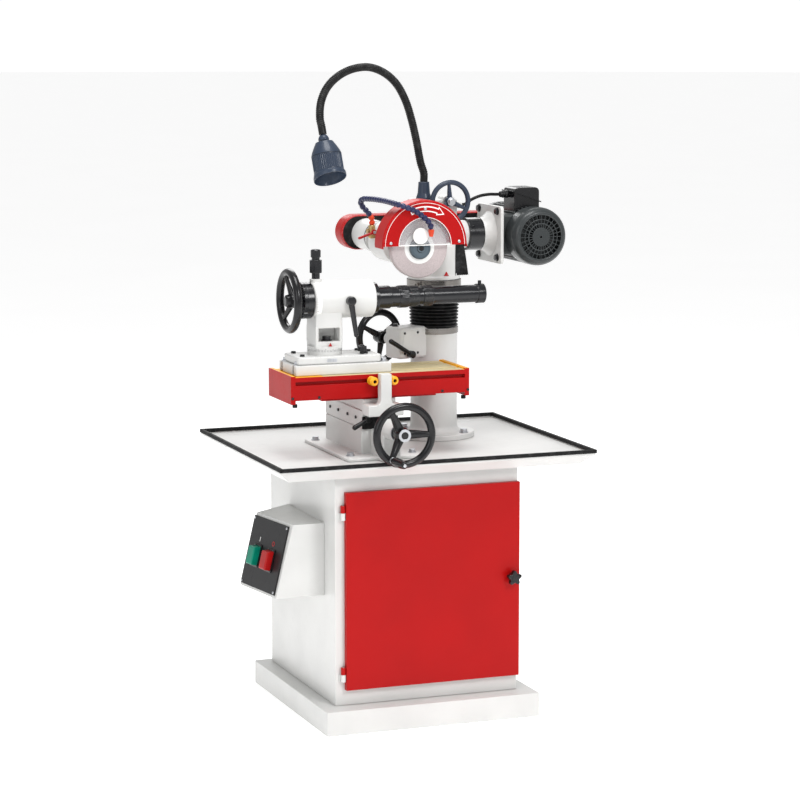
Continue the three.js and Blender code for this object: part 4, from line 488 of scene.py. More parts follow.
class Value:
    """A shader socket. Sums of values and numbers add their Math nodes."""

    def __init__(self, sheet, socket):
        self.sheet, self.socket = sheet, socket

    def _maths(self, operation, first, second):
        return self.sheet.node("ShaderNodeMath", {"operation": operation}, {0: first, 1: second})

    def __add__(self, other):
        return self._maths("ADD", self, other)

    def __radd__(self, other):
        return self._maths("ADD", other, self)

    def __sub__(self, other):
        return self._maths("SUBTRACT", self, other)

    def __rsub__(self, other):
        return self._maths("SUBTRACT", other, self)

    def __mul__(self, other):
        return self._maths("MULTIPLY", self, other)

    def __rmul__(self, other):
        return self._maths("MULTIPLY", other, self)

    def between(self, low, high):
        """A smooth step from 0 at low to 1 at high."""
        settings = {"interpolation_type": "SMOOTHSTEP"}
        return self.sheet.node("ShaderNodeMapRange", settings, {0: self, 1: low, 2: high})


class Sheet:
    """The nodes of one material, round a Principled shader."""

    def __init__(self, name):
        self.material = bpy.data.materials.new(name)
        self.material.use_nodes = True
        self.tree = self.material.node_tree
        self.tree.nodes.clear()
        self.shader = self.tree.nodes.new("ShaderNodeBsdfPrincipled")
        out = self.tree.nodes.new("ShaderNodeOutputMaterial")
        self.tree.links.new(self.shader.outputs[0], out.inputs[0])
        self.place = self.node("ShaderNodeTexCoord", out="Object")

    def node(self, kind, settings=None, values=None, out=0):
        """Adds a node of a kind, with its settings first and then its sockets' values or links."""
        made = self.tree.nodes.new(kind)
        for key, setting in (settings or {}).items():
            setattr(made, key, setting)
        for key, value in (values or {}).items():
            self.fill(made.inputs[key], value)
        return Value(self, made.outputs[out])

    def fill(self, socket, value):
        if isinstance(value, Value):
            self.tree.links.new(value.socket, socket)
        elif socket.type == "RGBA":
            socket.default_value = (*value[:3], 1)
        else:
            socket.default_value = value

    def stretched(self, scale):
        """The object's coordinates, each multiplied by its own scale."""
        return self.node("ShaderNodeMapping", None, {"Vector": self.place, "Scale": scale})

    def noise(self, scale, detail=3, vector=None, rough=0.5):
        values = {"Vector": vector or self.place, "Scale": scale, "Detail": detail, "Roughness": rough}
        return self.node("ShaderNodeTexNoise", None, values)

    def cells(self, scale):
        return self.node("ShaderNodeTexVoronoi", None, {"Vector": self.place, "Scale": scale})

    def lines(self, axis, fine, coarse):
        """Noise drawn out into lines across an axis."""
        scale = tuple(fine if name == axis else coarse for name in "xyz")
        return self.noise(1, 2, self.stretched(scale))

    def axis(self, name):
        return self.node("ShaderNodeSeparateXYZ", None, {0: self.place}, out=name)

    def rim(self):
        return self.node("ShaderNodeAttribute", {"attribute_name": "rim"}, out="Fac")

    def mix(self, first, second, factor):
        settings = {"data_type": "RGBA"}
        return self.node("ShaderNodeMix", settings, {0: factor, 6: first, 7: second}, out=2)

    def bump(self, height, strength, distance=0.0005, under=None):
        values = {"Height": height, "Strength": strength, "Distance": distance}
        if under is not None:
            values["Normal"] = under
        return self.node("ShaderNodeBump", None, values)

    def set(self, **values):
        """Fills the shader's sockets: base_color=... fills Base Color."""
        for key, value in values.items():
            name = " ".join(word.capitalize() for word in key.split("_"))
            name = name.replace("Ior", "IOR")
            self.fill(self.shader.inputs[name], value)
        return self.material


def shade(rgb, factor):
    """A colour made darker or lighter by a factor, at most white."""
    return tuple(min(1.0, c * factor) for c in rgb)


def paler(rgb, share, lift):
    """A colour drawn towards grey: each part c becomes share * c + lift."""
    return tuple(share * c + lift for c in rgb)


def painted(name, rgb, rough=0.35, peel=0.05, coat=0.2, dirt=0.5, chip=0.5, shine=0.3):
    """Enamel on sheet: slow shade changes, orange-peel ripple, fine dust and pale worn edges."""
    s = Sheet(name)
    cloud = s.noise(7, 2)
    dust = s.noise(46, 5, rough=0.65).between(0.52, 0.78)
    base = s.mix(shade(rgb, 0.955), shade(rgb, 1.03), cloud.between(0.3, 0.7))
    base = s.mix(base, shade(rgb, 0.86), dust * (0.35 * dirt))
    worn = s.rim() * s.noise(210, 4).between(0.44, 0.62)
    base = s.mix(base, paler(rgb, 0.55, 0.30), worn * chip)
    ripple = s.noise(900, 2)
    return s.set(
        base_color=base,
        roughness=rough + dust * 0.12 + worn * 0.15,
        specular_ior_level=shine,
        coat_weight=coat,
        coat_roughness=0.12,
        normal=s.bump(ripple, peel, 0.0004),
    )


def cast_paint(name, rgb, rough=0.42):
    """Thick paint over a sand casting: broad lumps, fine pits and darker blotches at random."""
    s = Sheet(name)
    lumps = s.noise(85, 4, rough=0.6)
    pits = s.cells(520)
    cloud = s.noise(9, 3).between(0.3, 0.72)
    base = s.mix(shade(rgb, 0.93), shade(rgb, 1.02), cloud)
    base = s.mix(base, shade(rgb, 0.78), s.noise(30, 6, rough=0.7).between(0.58, 0.8) * 0.35)
    worn = s.rim() * s.noise(180, 4).between(0.46, 0.64)
    base = s.mix(base, shade(rgb, 0.62), worn * 0.35)
    first = s.bump(lumps, 0.16, 0.0012)
    return s.set(
        base_color=base,
        roughness=rough + cloud * 0.08,
        coat_weight=0.12,
        coat_roughness=0.2,
        normal=s.bump(pits, 0.06, 0.0004, first),
    )


def moulded(name, rgb, rough=0.3, depth=0.06, coat=0.15):
    """Moulded plastic: faint flow marks, a fine grain and rubbed, slightly paler edges."""
    s = Sheet(name)
    flow = s.noise(24, 3).between(0.35, 0.7)
    rub = s.rim() * s.noise(140, 3).between(0.4, 0.65)
    base = s.mix(shade(rgb, 0.9), shade(rgb, 1.12), flow)
    base = s.mix(base, paler(rgb, 0.85, 0.035), rub * 0.6)
    scuff = s.noise(70, 5, rough=0.7).between(0.55, 0.75)
    return s.set(
        base_color=base,
        roughness=rough + scuff * 0.16,
        specular_ior_level=0.3,
        coat_weight=coat,
        coat_roughness=0.2,
        normal=s.bump(s.noise(1400, 2), depth, 0.0003),
    )


def rubbery(name, rgb, rough=0.72):
    """Rubber: matt, with a bloom of grey dust and a fine tooth."""
    s = Sheet(name)
    bloom = s.noise(60, 5, rough=0.7).between(0.45, 0.8)
    base = s.mix(rgb, paler(rgb, 0.8, 0.03), bloom)
    tooth = s.bump(s.noise(1500, 2), 0.12, 0.0003)
    return s.set(base_color=base, roughness=rough - bloom * 0.1, specular_ior_level=0.25, normal=tooth)


def blackened(name, rgb, axis):
    """Black oiled steel: turned lines across an axis, cloudy oil and rubbed, paler rims."""
    s = Sheet(name)
    lines = s.lines(axis, 1500, 5)
    oil = s.noise(30, 4, rough=0.6).between(0.4, 0.75)
    base = s.mix(shade(rgb, 0.7), shade(rgb, 1.25), lines.between(0.3, 0.7))
    base = s.mix(base, paler(rgb, 0.8, 0.03), s.rim() * 0.6)
    return s.set(
        base_color=base,
        roughness=0.17 + oil * 0.12,
        specular_ior_level=0.4,
        coat_weight=0.15,
        coat_roughness=0.1,
        normal=s.bump(lines, 0.05, 0.0002),
    )


def machined(name, rgb, axis, rough=0.24):
    """Turned or ground metal: fine lines across an axis, smears of oil and slightly bright rims."""
    s = Sheet(name)
    lines = s.lines(axis, 1400, 6)
    smear = s.noise(26, 4, rough=0.6).between(0.4, 0.75)
    base = s.mix(shade(rgb, 0.82), shade(rgb, 1.08), lines.between(0.3, 0.7))
    base = s.mix(base, shade(rgb, 0.72), smear * 0.25)
    base = s.mix(base, paler(rgb, 0.5, 0.3), s.rim() * 0.3)
    return s.set(
        base_color=base,
        metallic=1.0,
        roughness=rough + lines * 0.12 + smear * 0.1,
        normal=s.bump(lines, 0.10, 0.0002),
    )


def table_finish(name):
    """Red enamel on the table's sides, and a ground, oiled top that shows warm and streaked. Each
    named pair is the narrow range of a coordinate, in metres, over which one paint gives way."""
    s = Sheet(name)
    red, top = tuple(colours().red), tuple(colours().top)
    peel = s.noise(900, 2)
    cloud = s.noise(8, 2).between(0.3, 0.7)
    paint = s.mix(shade(red, 0.94), shade(red, 1.04), cloud)
    streak = s.noise(1, 3, s.stretched((14, 520, 14)))
    blot = s.noise(22, 5, rough=0.65).between(0.45, 0.75)
    ground = s.mix(shade(top, 0.72), shade(top, 1.12), streak.between(0.25, 0.75))
    ground = s.mix(ground, shade(top, 0.5), blot * 0.3)
    up = s.node("ShaderNodeNewGeometry", out="Normal")
    level = s.node("ShaderNodeSeparateXYZ", None, {0: up}, out="Z").between(0.6, 0.9)
    surface, slot_floor = (0.8620, 0.8628), (0.8440, 0.8444)
    left, right = (-0.3190, -0.3188), (0.1420, 0.1422)
    front, back = (-0.1386, -0.1384), (0.0234, 0.0237)
    flat = level * s.axis("Z").between(*surface) * s.axis("X").between(*left)
    within = s.axis("Y").between(*front) * (1 - s.axis("Y").between(*back))
    within = within * s.axis("X").between(*left) * (1 - s.axis("X").between(*right))
    slots = within * s.axis("Z").between(*slot_floor)
    mask = s.node("ShaderNodeMath", {"operation": "MAXIMUM"}, {0: flat, 1: slots})
    left_end, right_end = (-0.2400, -0.2380), (0.1290, 0.1300)
    ends = (1 - s.axis("X").between(*left_end)) + s.axis("X").between(*right_end)
    yellow = s.mix(shade(tuple(colours().yellow), 0.92), tuple(colours().yellow), cloud)
    return s.set(
        base_color=s.mix(paint, s.mix(ground, yellow, ends), mask),
        metallic=mask * 0.2,
        roughness=0.36 + mask * 0.08 + blot * 0.08,
        specular_ior_level=0.12,
        coat_roughness=0.15,
        coat_weight=0.05,
        normal=s.bump(peel, 0.05, 0.0004),
    )


def abrasive(name):
    """Bonded grit: grains of two shades with small dark pores, quite rough."""
    s = Sheet(name)
    rgb = tuple(colours().stone)
    grains = s.cells(900)
    pores = s.cells(430).between(0.05, 0.32)
    base = s.mix(shade(rgb, 0.78), shade(rgb, 1.1), grains.between(0.15, 0.6))
    base = s.mix(shade(rgb, 0.55), base, pores)
    return s.set(base_color=base, roughness=0.92, normal=s.bump(grains, 0.5, 0.0006))


def clear_sheet(name, rgb, alpha):
    """A clear plastic sheet, a little smoked and scratched."""
    s = Sheet(name)
    scratch = s.noise(1, 4, s.stretched((30, 30, 700))).between(0.55, 0.7)
    haze = s.noise(18, 4).between(0.3, 0.8)
    return s.set(
        base_color=s.mix(rgb, shade(rgb, 1.2), scratch),
        roughness=0.12 + scratch * 0.2,
        alpha=alpha + haze * 0.08 + scratch * 0.06,
        coat_weight=0.3,
    )


def glowing(name, rgb, strength):
    """A lit glass bulb, a little brighter in the middle of its frosting."""
    s = Sheet(name)
    frost = s.noise(160, 3).between(0.2, 0.8)
    return s.set(
        base_color=s.mix(shade(rgb, 0.9), rgb, frost),
        emission_color=s.mix(shade(rgb, 0.8), rgb, frost),
        emission_strength=strength,
        roughness=0.3,
    )


FINISHES = {}


def make_finish(name):
    """Builds one named finish from the colour settings."""
    c = {key: tuple(getattr(colours(), key)) for key in GrinderColours.__annotations__}
    makers = {
        "sheet_white": lambda n: painted(n, c["white"], 0.36, dirt=0.5),
        "cast_white": lambda n: cast_paint(n, c["white"]),
        "red_paint": lambda n: painted(
            n, c["red"], 0.36, peel=0.04, coat=0.05, dirt=0.3, chip=0.2, shine=0.12
        ),
        "slate": lambda n: painted(n, c["slate"], 0.4, peel=0.08, coat=0.15, chip=0.3),
        "motor_cast": lambda n: cast_paint(n, c["motor"], 0.4),
        "motor_sheet": lambda n: painted(n, c["motor"], 0.38, chip=0.25),
        "black_plastic": lambda n: moulded(n, c["black"], 0.22, coat=0.1),
        "black_panel": lambda n: moulded(n, shade(c["black"], 1.3), 0.42, depth=0.1),
        "rubber": lambda n: rubbery(n, c["rubber"]),
        "soft_rubber": lambda n: rubbery(n, c["rubber"], 0.42),
        "green_plastic": lambda n: moulded(n, c["green"], 0.3),
        "red_plastic": lambda n: moulded(n, c["red"], 0.3),
        "yellow": lambda n: painted(n, c["yellow"], 0.35, chip=0.4),
        "table": table_finish,
        "stone": abrasive,
        "dark_steel": lambda n: machined(n, tone(140, 136, 132), "z", 0.2),
        "hub_steel": lambda n: machined(n, tone(92, 104, 112), "y", 0.3),
        "label_white": lambda n: painted(n, (0.86, 0.86, 0.84), 0.4, dirt=0.2),
        "brass": lambda n: machined(n, c["brass"], "z", 0.3),
        "navy_plastic": lambda n: moulded(n, c["navy"], 0.32, coat=0.3),
        "orange_plastic": lambda n: moulded(n, tone(214, 62, 20), 0.35),
        "clear": lambda n: clear_sheet(n, (0.62, 0.62, 0.64), 0.16),
        "bulb": lambda n: glowing(n, (1.0, 0.96, 0.88), 1.2),
        "mark_grey": lambda n: painted(n, tone(70, 72, 76), 0.5, dirt=0.2, chip=0.1),
    }
    for axis in "xyz":
        makers["oxide_" + axis] = lambda n, k=axis: blackened(n, c["oxide"], k)
        makers["steel_" + axis] = lambda n, k=axis: machined(n, c["steel"], k)
    return makers[name](name + "_finish")


def finish(name):
    """The named finish, built when it is first asked for."""
    if name not in FINISHES:
        FINISHES[name] = make_finish(name)
    return FINISHES[name]


# Places that several pieces share, in millimetres

FRONTWARD = np.array([X, Z, -Y])
LEFTWARD = np.array([Z, Y, -X])
TURN = math.radians(17.5)
ALONG = np.array([math.cos(TURN), math.sin(TURN), 0])
BACK = np.array([-math.sin(TURN), math.cos(TURN), 0])
GEARBOX = np.array([ALONG, BACK, Z])
COLUMN = np.array([157.0, 125.0, 0.0])
FEED_SCREW = (-89, 0, 733)
WORK_SPINDLE = (0, -67, 1041)
SWIVEL = (-207, -67, 0)
PLUNGER = (-229, -67, 0)
SPINDLE = (58, 0, 1156)
MOTOR = (414, 0, 1168)
GUARD = (65.0, 1164.0)
QUARTERS = (45, 135, 225, 315)


def sideways(degrees):
    """The level direction at an angle from x."""
    return np.array([math.cos(math.radians(degrees)), math.sin(math.radians(degrees)), 0])


def by_gearbox(u, w, z):
    """A point given along and across the turned gearbox."""
    return COLUMN + ALONG * u + BACK * w + Z * z


# Pieces


def make(name, shape, look, node, replaces=True, slot=None):
    """Turns a shape into an object that rides with a CAD node's body and, if asked, stands for it."""
    mesh = bpy.data.meshes.new(name)
    mesh.from_pydata(shape.points * MM, [], [f.tolist() for f in shape.faces])
    rim = mesh.attributes.new("rim", "FLOAT", "POINT")
    rim.data.foreach_set("value", shape.rim.astype(np.float32))
    b = bmesh.new()
    b.from_mesh(mesh)
    bmesh.ops.remove_doubles(b, verts=b.verts, dist=2e-6)
    bmesh.ops.dissolve_degenerate(b, edges=b.edges, dist=1e-7)
    bmesh.ops.recalc_face_normals(b, faces=b.faces)
    b.to_mesh(mesh)
    b.free()
    mesh.shade_smooth()
    mesh.set_sharp_from_angle(angle=math.radians(38))
    mesh.materials.append(finish(look))
    piece = bpy.data.objects.new(name, mesh)
    bpy.context.scene.collection.objects.link(piece)
    even = piece.modifiers.new("Even shading", "WEIGHTED_NORMAL")
    even.keep_sharp = True
    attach(piece, NODES[node]["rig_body"])
    slot or SLOT_OF[node]
    if replaces:
        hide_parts(node)
    return piece


def detail(name, shape, look, node, slot=None):
    """A small piece on a CAD node's body that stands for no node."""
    return make(name, shape, look, node, replaces=False, slot=slot)


def carry(node, look, edge, segments=3):
    """Shows a CAD node with a finish, its edges rounded by a Bevel after its points are joined."""
    piece = NODES[node]
    piece.data.materials.clear()
    piece.data.materials.append(finish(look))
    weld = piece.modifiers.new("Join points", "WELD")
    weld.merge_threshold = 1e-5
    flat = piece.modifiers.new("Join flats", "DECIMATE")
    flat.decimate_type = "DISSOLVE"
    flat.angle_limit = math.radians(1)
    bevel = piece.modifiers.new("Round edges", "BEVEL")
    bevel.width = edge
    bevel.segments = segments
    bevel.limit_method = "ANGLE"
    bevel.angle_limit = math.radians(28)
    bevel.harden_normals = False
    even = piece.modifiers.new("Even shading", "WEIGHTED_NORMAL")
    even.keep_sharp = True
    piece.data.shade_smooth()
    return piece


class PieceOperator:
    """What every piece's operator shares."""

    bl_options = {"REGISTER"}

    def execute(self, context):
        self.build()
        return {"FINISHED"}


class GRINDER_OT_stand(PieceOperator, bpy.types.Operator):
    """Build the plinth and the cabinet"""

    bl_idname = "grinder.stand"
    bl_label = "Floor stand"

    def build(self):
        edge = sizes().sheet_edge
        carry("plinth", "sheet_white", 0.003)
        carry("cabinet", "sheet_white", edge * 0.6)


class GRINDER_OT_door(PieceOperator, bpy.types.Operator):
    """Build the door with its hinges and its star knob"""

    bl_idname = "grinder.door"
    bl_label = "Door"

    def build(self):
        carry("cabinet_door", "red_paint", sizes().sheet_edge * 0.45)
        carry("door_hinge_lower", "sheet_white", 0.0004, 2)
        carry("door_hinge_upper", "sheet_white", 0.0004, 2)
        a = full_turn(120)
        star = polar(15.6 + 3.3 * np.cos(5 * (a - np.pi / 2)), a)
        at = (219, 0, 352)
        knob = pull(star, -273.3, -257.3, at, "y", edge=3.5, steps=5)
        knob += rod(10, -257.4, -248.6, at, "y")
        knob += rod(5, -250, -226.7, at, "y")
        knob += block((214, -229.7, 336), (224, -226.7, 357), 0.4)
        make("door_star_knob", knob, "black_plastic", "door_knob")
        cap = rod(7.5, -274.2, -272.6, at, "y", edge=0.5)
        detail("door_knob_cap", cap, "black_panel", "door_knob")


class GRINDER_OT_console(PieceOperator, bpy.types.Operator):
    """Build the sloping switch box, its panel and its two paddles"""

    bl_idname = "grinder.console"
    bl_label = "Switch box"

    def build(self):
        carry("switch_box", "sheet_white", 0.0025)
        carry("switch_panel", "black_panel", 0.0012)
        carry("start_button", "green_plastic", 0.003, 4)
        carry("stop_button", "red_plastic", 0.003, 4)
        # The panel leans out by this normal; along and up run on its face from its low front corner
        out = unit((-0.95859275, -0.14747581, 0.24362026))
        wall, low, high = -240.3, 321.0, 502.0
        low_front = np.array([wall - 126, -155, low])
        low_back = np.array([wall - 126 - 30, 40, low])
        high_front = np.array([wall - 80, -155, high])
        along = unit(low_back - low_front)
        up = high_front - low_front
        up = unit(up - along * (up @ along))
        span = np.linalg.norm(low_back - low_front)
        tall = (high_front - low_front) @ up
        rows = np.array([along, up, out])
        face = low_front + out * 4.3
        apart, half = 36, 25
        middle, bottom = span / 2, tall / 2 - half - 8

        def on_face(shape, a, u):
            return shape.put(face + along * a + up * u, rows)

        frames = []
        for side in (-1, 1):
            outer = softened(box_outline(-20, -29, 20, 29), 6, 5)[0]
            inner = softened(box_outline(-16.2, -25.2, 16.2, 25.2), 3, 5)[0]
            loop = np.stack([
                np.c_[outer, np.zeros(len(outer))], np.c_[outer, np.full(len(outer), 2.0)],
                np.c_[inner, np.full(len(inner), 3.0)], np.c_[inner, np.zeros(len(inner))],
            ])
            frames.append(on_face(skin(loop, (True, True)), middle + side * apart, bottom + half))
        detail("switch_bezels", joined(frames), "black_plastic", "switch_panel")
        one = pull(box_outline(-1.2, -6, 1.2, 6), -0.2, 0.5, edge=0.2, corner=0.5)
        detail("start_mark", on_face(one, middle + apart, bottom + 66), "label_white", "switch_panel")
        nought = ring(4.2, 6.2, -0.2, 0.5, edge=0.2, turns=48)
        detail("stop_mark", on_face(nought, middle - apart, bottom + 66), "red_plastic", "switch_panel")
        corners = [(13, 13), (span - 13, 13), (13, tall - 13), (span - 13, tall - 13)]
        screws = joined(on_face(dome((0, 0, 0), Z, 3.4, 1.8), a, u) for a, u in corners)
        detail("switch_screws", screws, "steel_x", "switch_panel", "bright_steel")


class GRINDER_OT_tray(PieceOperator, bpy.types.Operator):
    """Build the chip tray and its rubber edge"""

    bl_idname = "grinder.tray"
    bl_label = "Chip tray"

    def build(self):
        carry("chip_tray", "sheet_white", 0.0008, 2)
        carry("tray_edge_trim", "rubber", 0.0012, 3)


class GRINDER_OT_cross_slide(PieceOperator, bpy.types.Operator):
    """Build the slide base, the saddle on it, the feed screw and the saddle's clamp"""

    bl_idname = "grinder.cross_slide"
    bl_label = "Cross slide"

    def build(self):
        base = block((-135, -134, 655.3), (-43, 135, 727), 3)
        base += block((-192, -195, 655.3), (14, 140, 663.3), 2.5, corner=9)
        base += block((-112, -225, 655.3), (-66, -133, 727), 3)
        neck = [(0, -270), (20, -270), (26, -204), (0, -204)]
        base += lathe(neck, FEED_SCREW, "y", 2.5)
        make("cast_slide_base", base, "cast_white", "slide_base")
        saddle = block((-135, -140, 727.3), (-43, 135, 771.3), 2.5)
        saddle += block((-132, -137, 770.3), (-46, 132, 799.7), 2)
        saddle += block((-135, -187.5, 762), (-43, -139, 790), 3)
        middle, front, back = -89, -187.5, -162.5
        levels = [(26, 0, 789), (20, 0, 791.5), (16, 0, 796), (14, 0, 802), (14, 0, 863), (13, 1, 866)]
        saddle += loft([
            box_section(middle - half, front + lip, middle + half, back - lip, z) for half, lip, z in levels
        ])
        make("cast_saddle", saddle, "cast_white", "cross_saddle")
        screw = rod(8, -313, 100, FEED_SCREW, "y", 1)
        screw += rod(12, -276.7, -270.3, FEED_SCREW, "y")
        make("feed_screw", screw, "steel_y", "cross_feed_screw")
        bright = ring(12, 20.5, -270.2, -268, FEED_SCREW, "y", 0.5)
        detail("feed_bearing_ring", bright, "steel_y", "slide_base", "bright_steel")
        gib = repeated(cap_screw((0, 0, 0), -X, 4, 3.2), [(-135, y, 750) for y in (-95, -35, 35, 95)])
        detail("gib_screws", gib, "oxide_x", "cross_saddle", "black_steel")
        feet = [(x, y) for y in (-150, 112) for x in (-170, -8)]
        bolts = joined(bolt((x, y, 663.3), Z, 15, 9) for x, y in feet)
        detail("slide_base_bolts", bolts, "steel_z", "slide_base", "bright_steel")
        wiper = pull(box_outline(-47, -2, 47, 30), -142.6, -140.1, (-89, 0, 727.5), "y", 0.8, corner=3)
        detail("saddle_wiper", wiper, "rubber", "cross_saddle", "black_rubber")
        pivot, tip = (-124, -148.3, 750), (-157.6, -148.3, 732.2)
        lever = rod(8, -8, 8, pivot, "y", 1.5) + bar(pivot, tip, 5, 6.4)
        lever += ball(tip, 6.5)
        make("saddle_lever", lever, "black_plastic", "saddle_clamp_lever")


class GRINDER_OT_table(PieceOperator, bpy.types.Operator):
    """Build the table, its stops and its small fittings"""

    bl_idname = "grinder.table"
    bl_label = "Table"

    def build(self):
        carry("table", "table", 0.0009, 2)
        for node, x in (("stop_dog_left", -115), ("stop_dog_right", -63)):
            at = (x, 0, 847)
            profile = [
                (0, -169.3), (4.6, -169.3), (4.6, -178.3), (8.2, -178.3), (8.2, -174), (11, -172),
                (11, -160), (9.8, -158.5), (9.8, -152.5), (11, -151), (11, -150.3), (4, -150.3),
                (4, -144.6), (6, -144.6), (6, -139.3), (0, -139.3),
            ]
            make("turned_" + node, lathe(profile, at, "y", 0.7), "yellow", node)
            # A black disc at the dog's front face: painted shade standing for its dark bore.
            detail(node + "_bore", rod(4.4, -170.5, -168.9, at, "y", 0.2), "rubber", node)
        feet = [(-309, -140), (-297, -20), (132, -140), (132, -20)]
        pads = joined(rod(6, 788.5, 797, (x, y, 0), "z", 1.2, turns=32) for x, y in feet)
        detail("table_buffers", pads, "rubber", "table", "black_rubber")
        spots = [(-318, -150), (-250, -150), (72, -150), (140, -150)]
        screws = joined(cap_screw((x, y, 812), -Y, 3.4, 1.6) for x, y in spots)
        detail("table_screws", screws, "oxide_y", "table", "black_steel")


def handwheel(size, angles, bore=0.0):
    """A handwheel about z, with the back of its hub at 0. The rim's section is a circle with a flat
    oval inside; each spoke is an oval that shrinks and rises from the hub to the rim."""
    radius, thick, hub, long, spoke, dish = size
    mean = radius - thick
    plane = long / 2 + dish
    section = polar(thick, full_turn(28)) + (mean, plane)
    whole = lathe(section, edge=0, steps=1, closed=True, turns=96)
    body = [
        (bore, 0), (hub * 0.9, 0), (hub, long * 0.16), (hub * 0.98, long * 0.62), (hub * 0.8, long),
        (bore, long),
    ]
    whole = whole + lathe(body, edge=2.2, closed=bore > 0)
    t = np.linspace(0, 1, 15)[:, None, None]
    s = t * t * (3 - 2 * t)
    ring_ = circle(28)[None]
    wide = spoke * (1.12 - 0.42 * s)
    deep = spoke * (0.9 - 0.3 * s)
    for degrees in angles:
        run = hub * 0.5 + (mean - hub * 0.5) * t
        side = np.broadcast_to(ring_[..., :1] * wide, (15, 28, 1))
        rise = long / 2 + (plane - long / 2) * s + ring_[..., 1:] * deep
        points = np.concatenate([np.broadcast_to(run, side.shape), side, rise], -1)
        c, d = math.cos(math.radians(degrees)), math.sin(math.radians(degrees))
        one = skin(points, caps=(True, True))
        whole = whole + one.put((0, 0, 0), [[c, d, 0], [-d, c, 0], [0, 0, 1]])
    return whole


class GRINDER_OT_cross_wheel(PieceOperator, bpy.types.Operator):
    """Build the front handwheel with its turning grip"""

    bl_idname = "grinder.cross_wheel"
    bl_label = "Cross-feed handwheel"

    def build(self):
        at = (-89, -277, 733)
        wheel = handwheel((80, 9.5, 19, 36, 10.5, 14), (0, 120, 240)).put(at, FRONTWARD)
        make("front_handwheel", wheel, "black_plastic", "cross_handwheel")
        hub = ring(9, 15.5, 35.4, 37.4, at, FRONTWARD[2], 0.6)
        centre = rod(8.4, 30, 36.6, at, FRONTWARD[2])
        detail("front_hub_centre", centre, "oxide_y", "cross_handwheel", "black_steel")
        detail("front_hub_ring", hub, "steel_y", "cross_handwheel", "bright_steel")
        grip_at = (-122.2, -309, 675.5)
        profile = [
            (0, 9.8), (7.5, 9.8), (7.5, 14), (9.2, 20), (11.3, 30), (11.5, 52), (10.4, 72), (9.2, 82),
            (8.4, 88), (6, 92), (0, 92.6),
        ]
        grip = lathe(profile, edge=6, steps=4).put(grip_at, FRONTWARD)
        grip += rod(4, -9.5, 9.9).put(grip_at, FRONTWARD)
        make("front_grip", grip, "black_plastic", "cross_handwheel_grip")
        collar = ring(4.5, 8.2, 9.9, 13, edge=0.5).put(grip_at, FRONTWARD)
        collar += lathe([(0, 92.2), (4.2, 92.2), (3.4, 93.4), (0, 93.7)], edge=0.4).put(grip_at, FRONTWARD)
        detail("front_grip_metal", collar, "steel_y", "cross_handwheel_grip", "bright_steel")


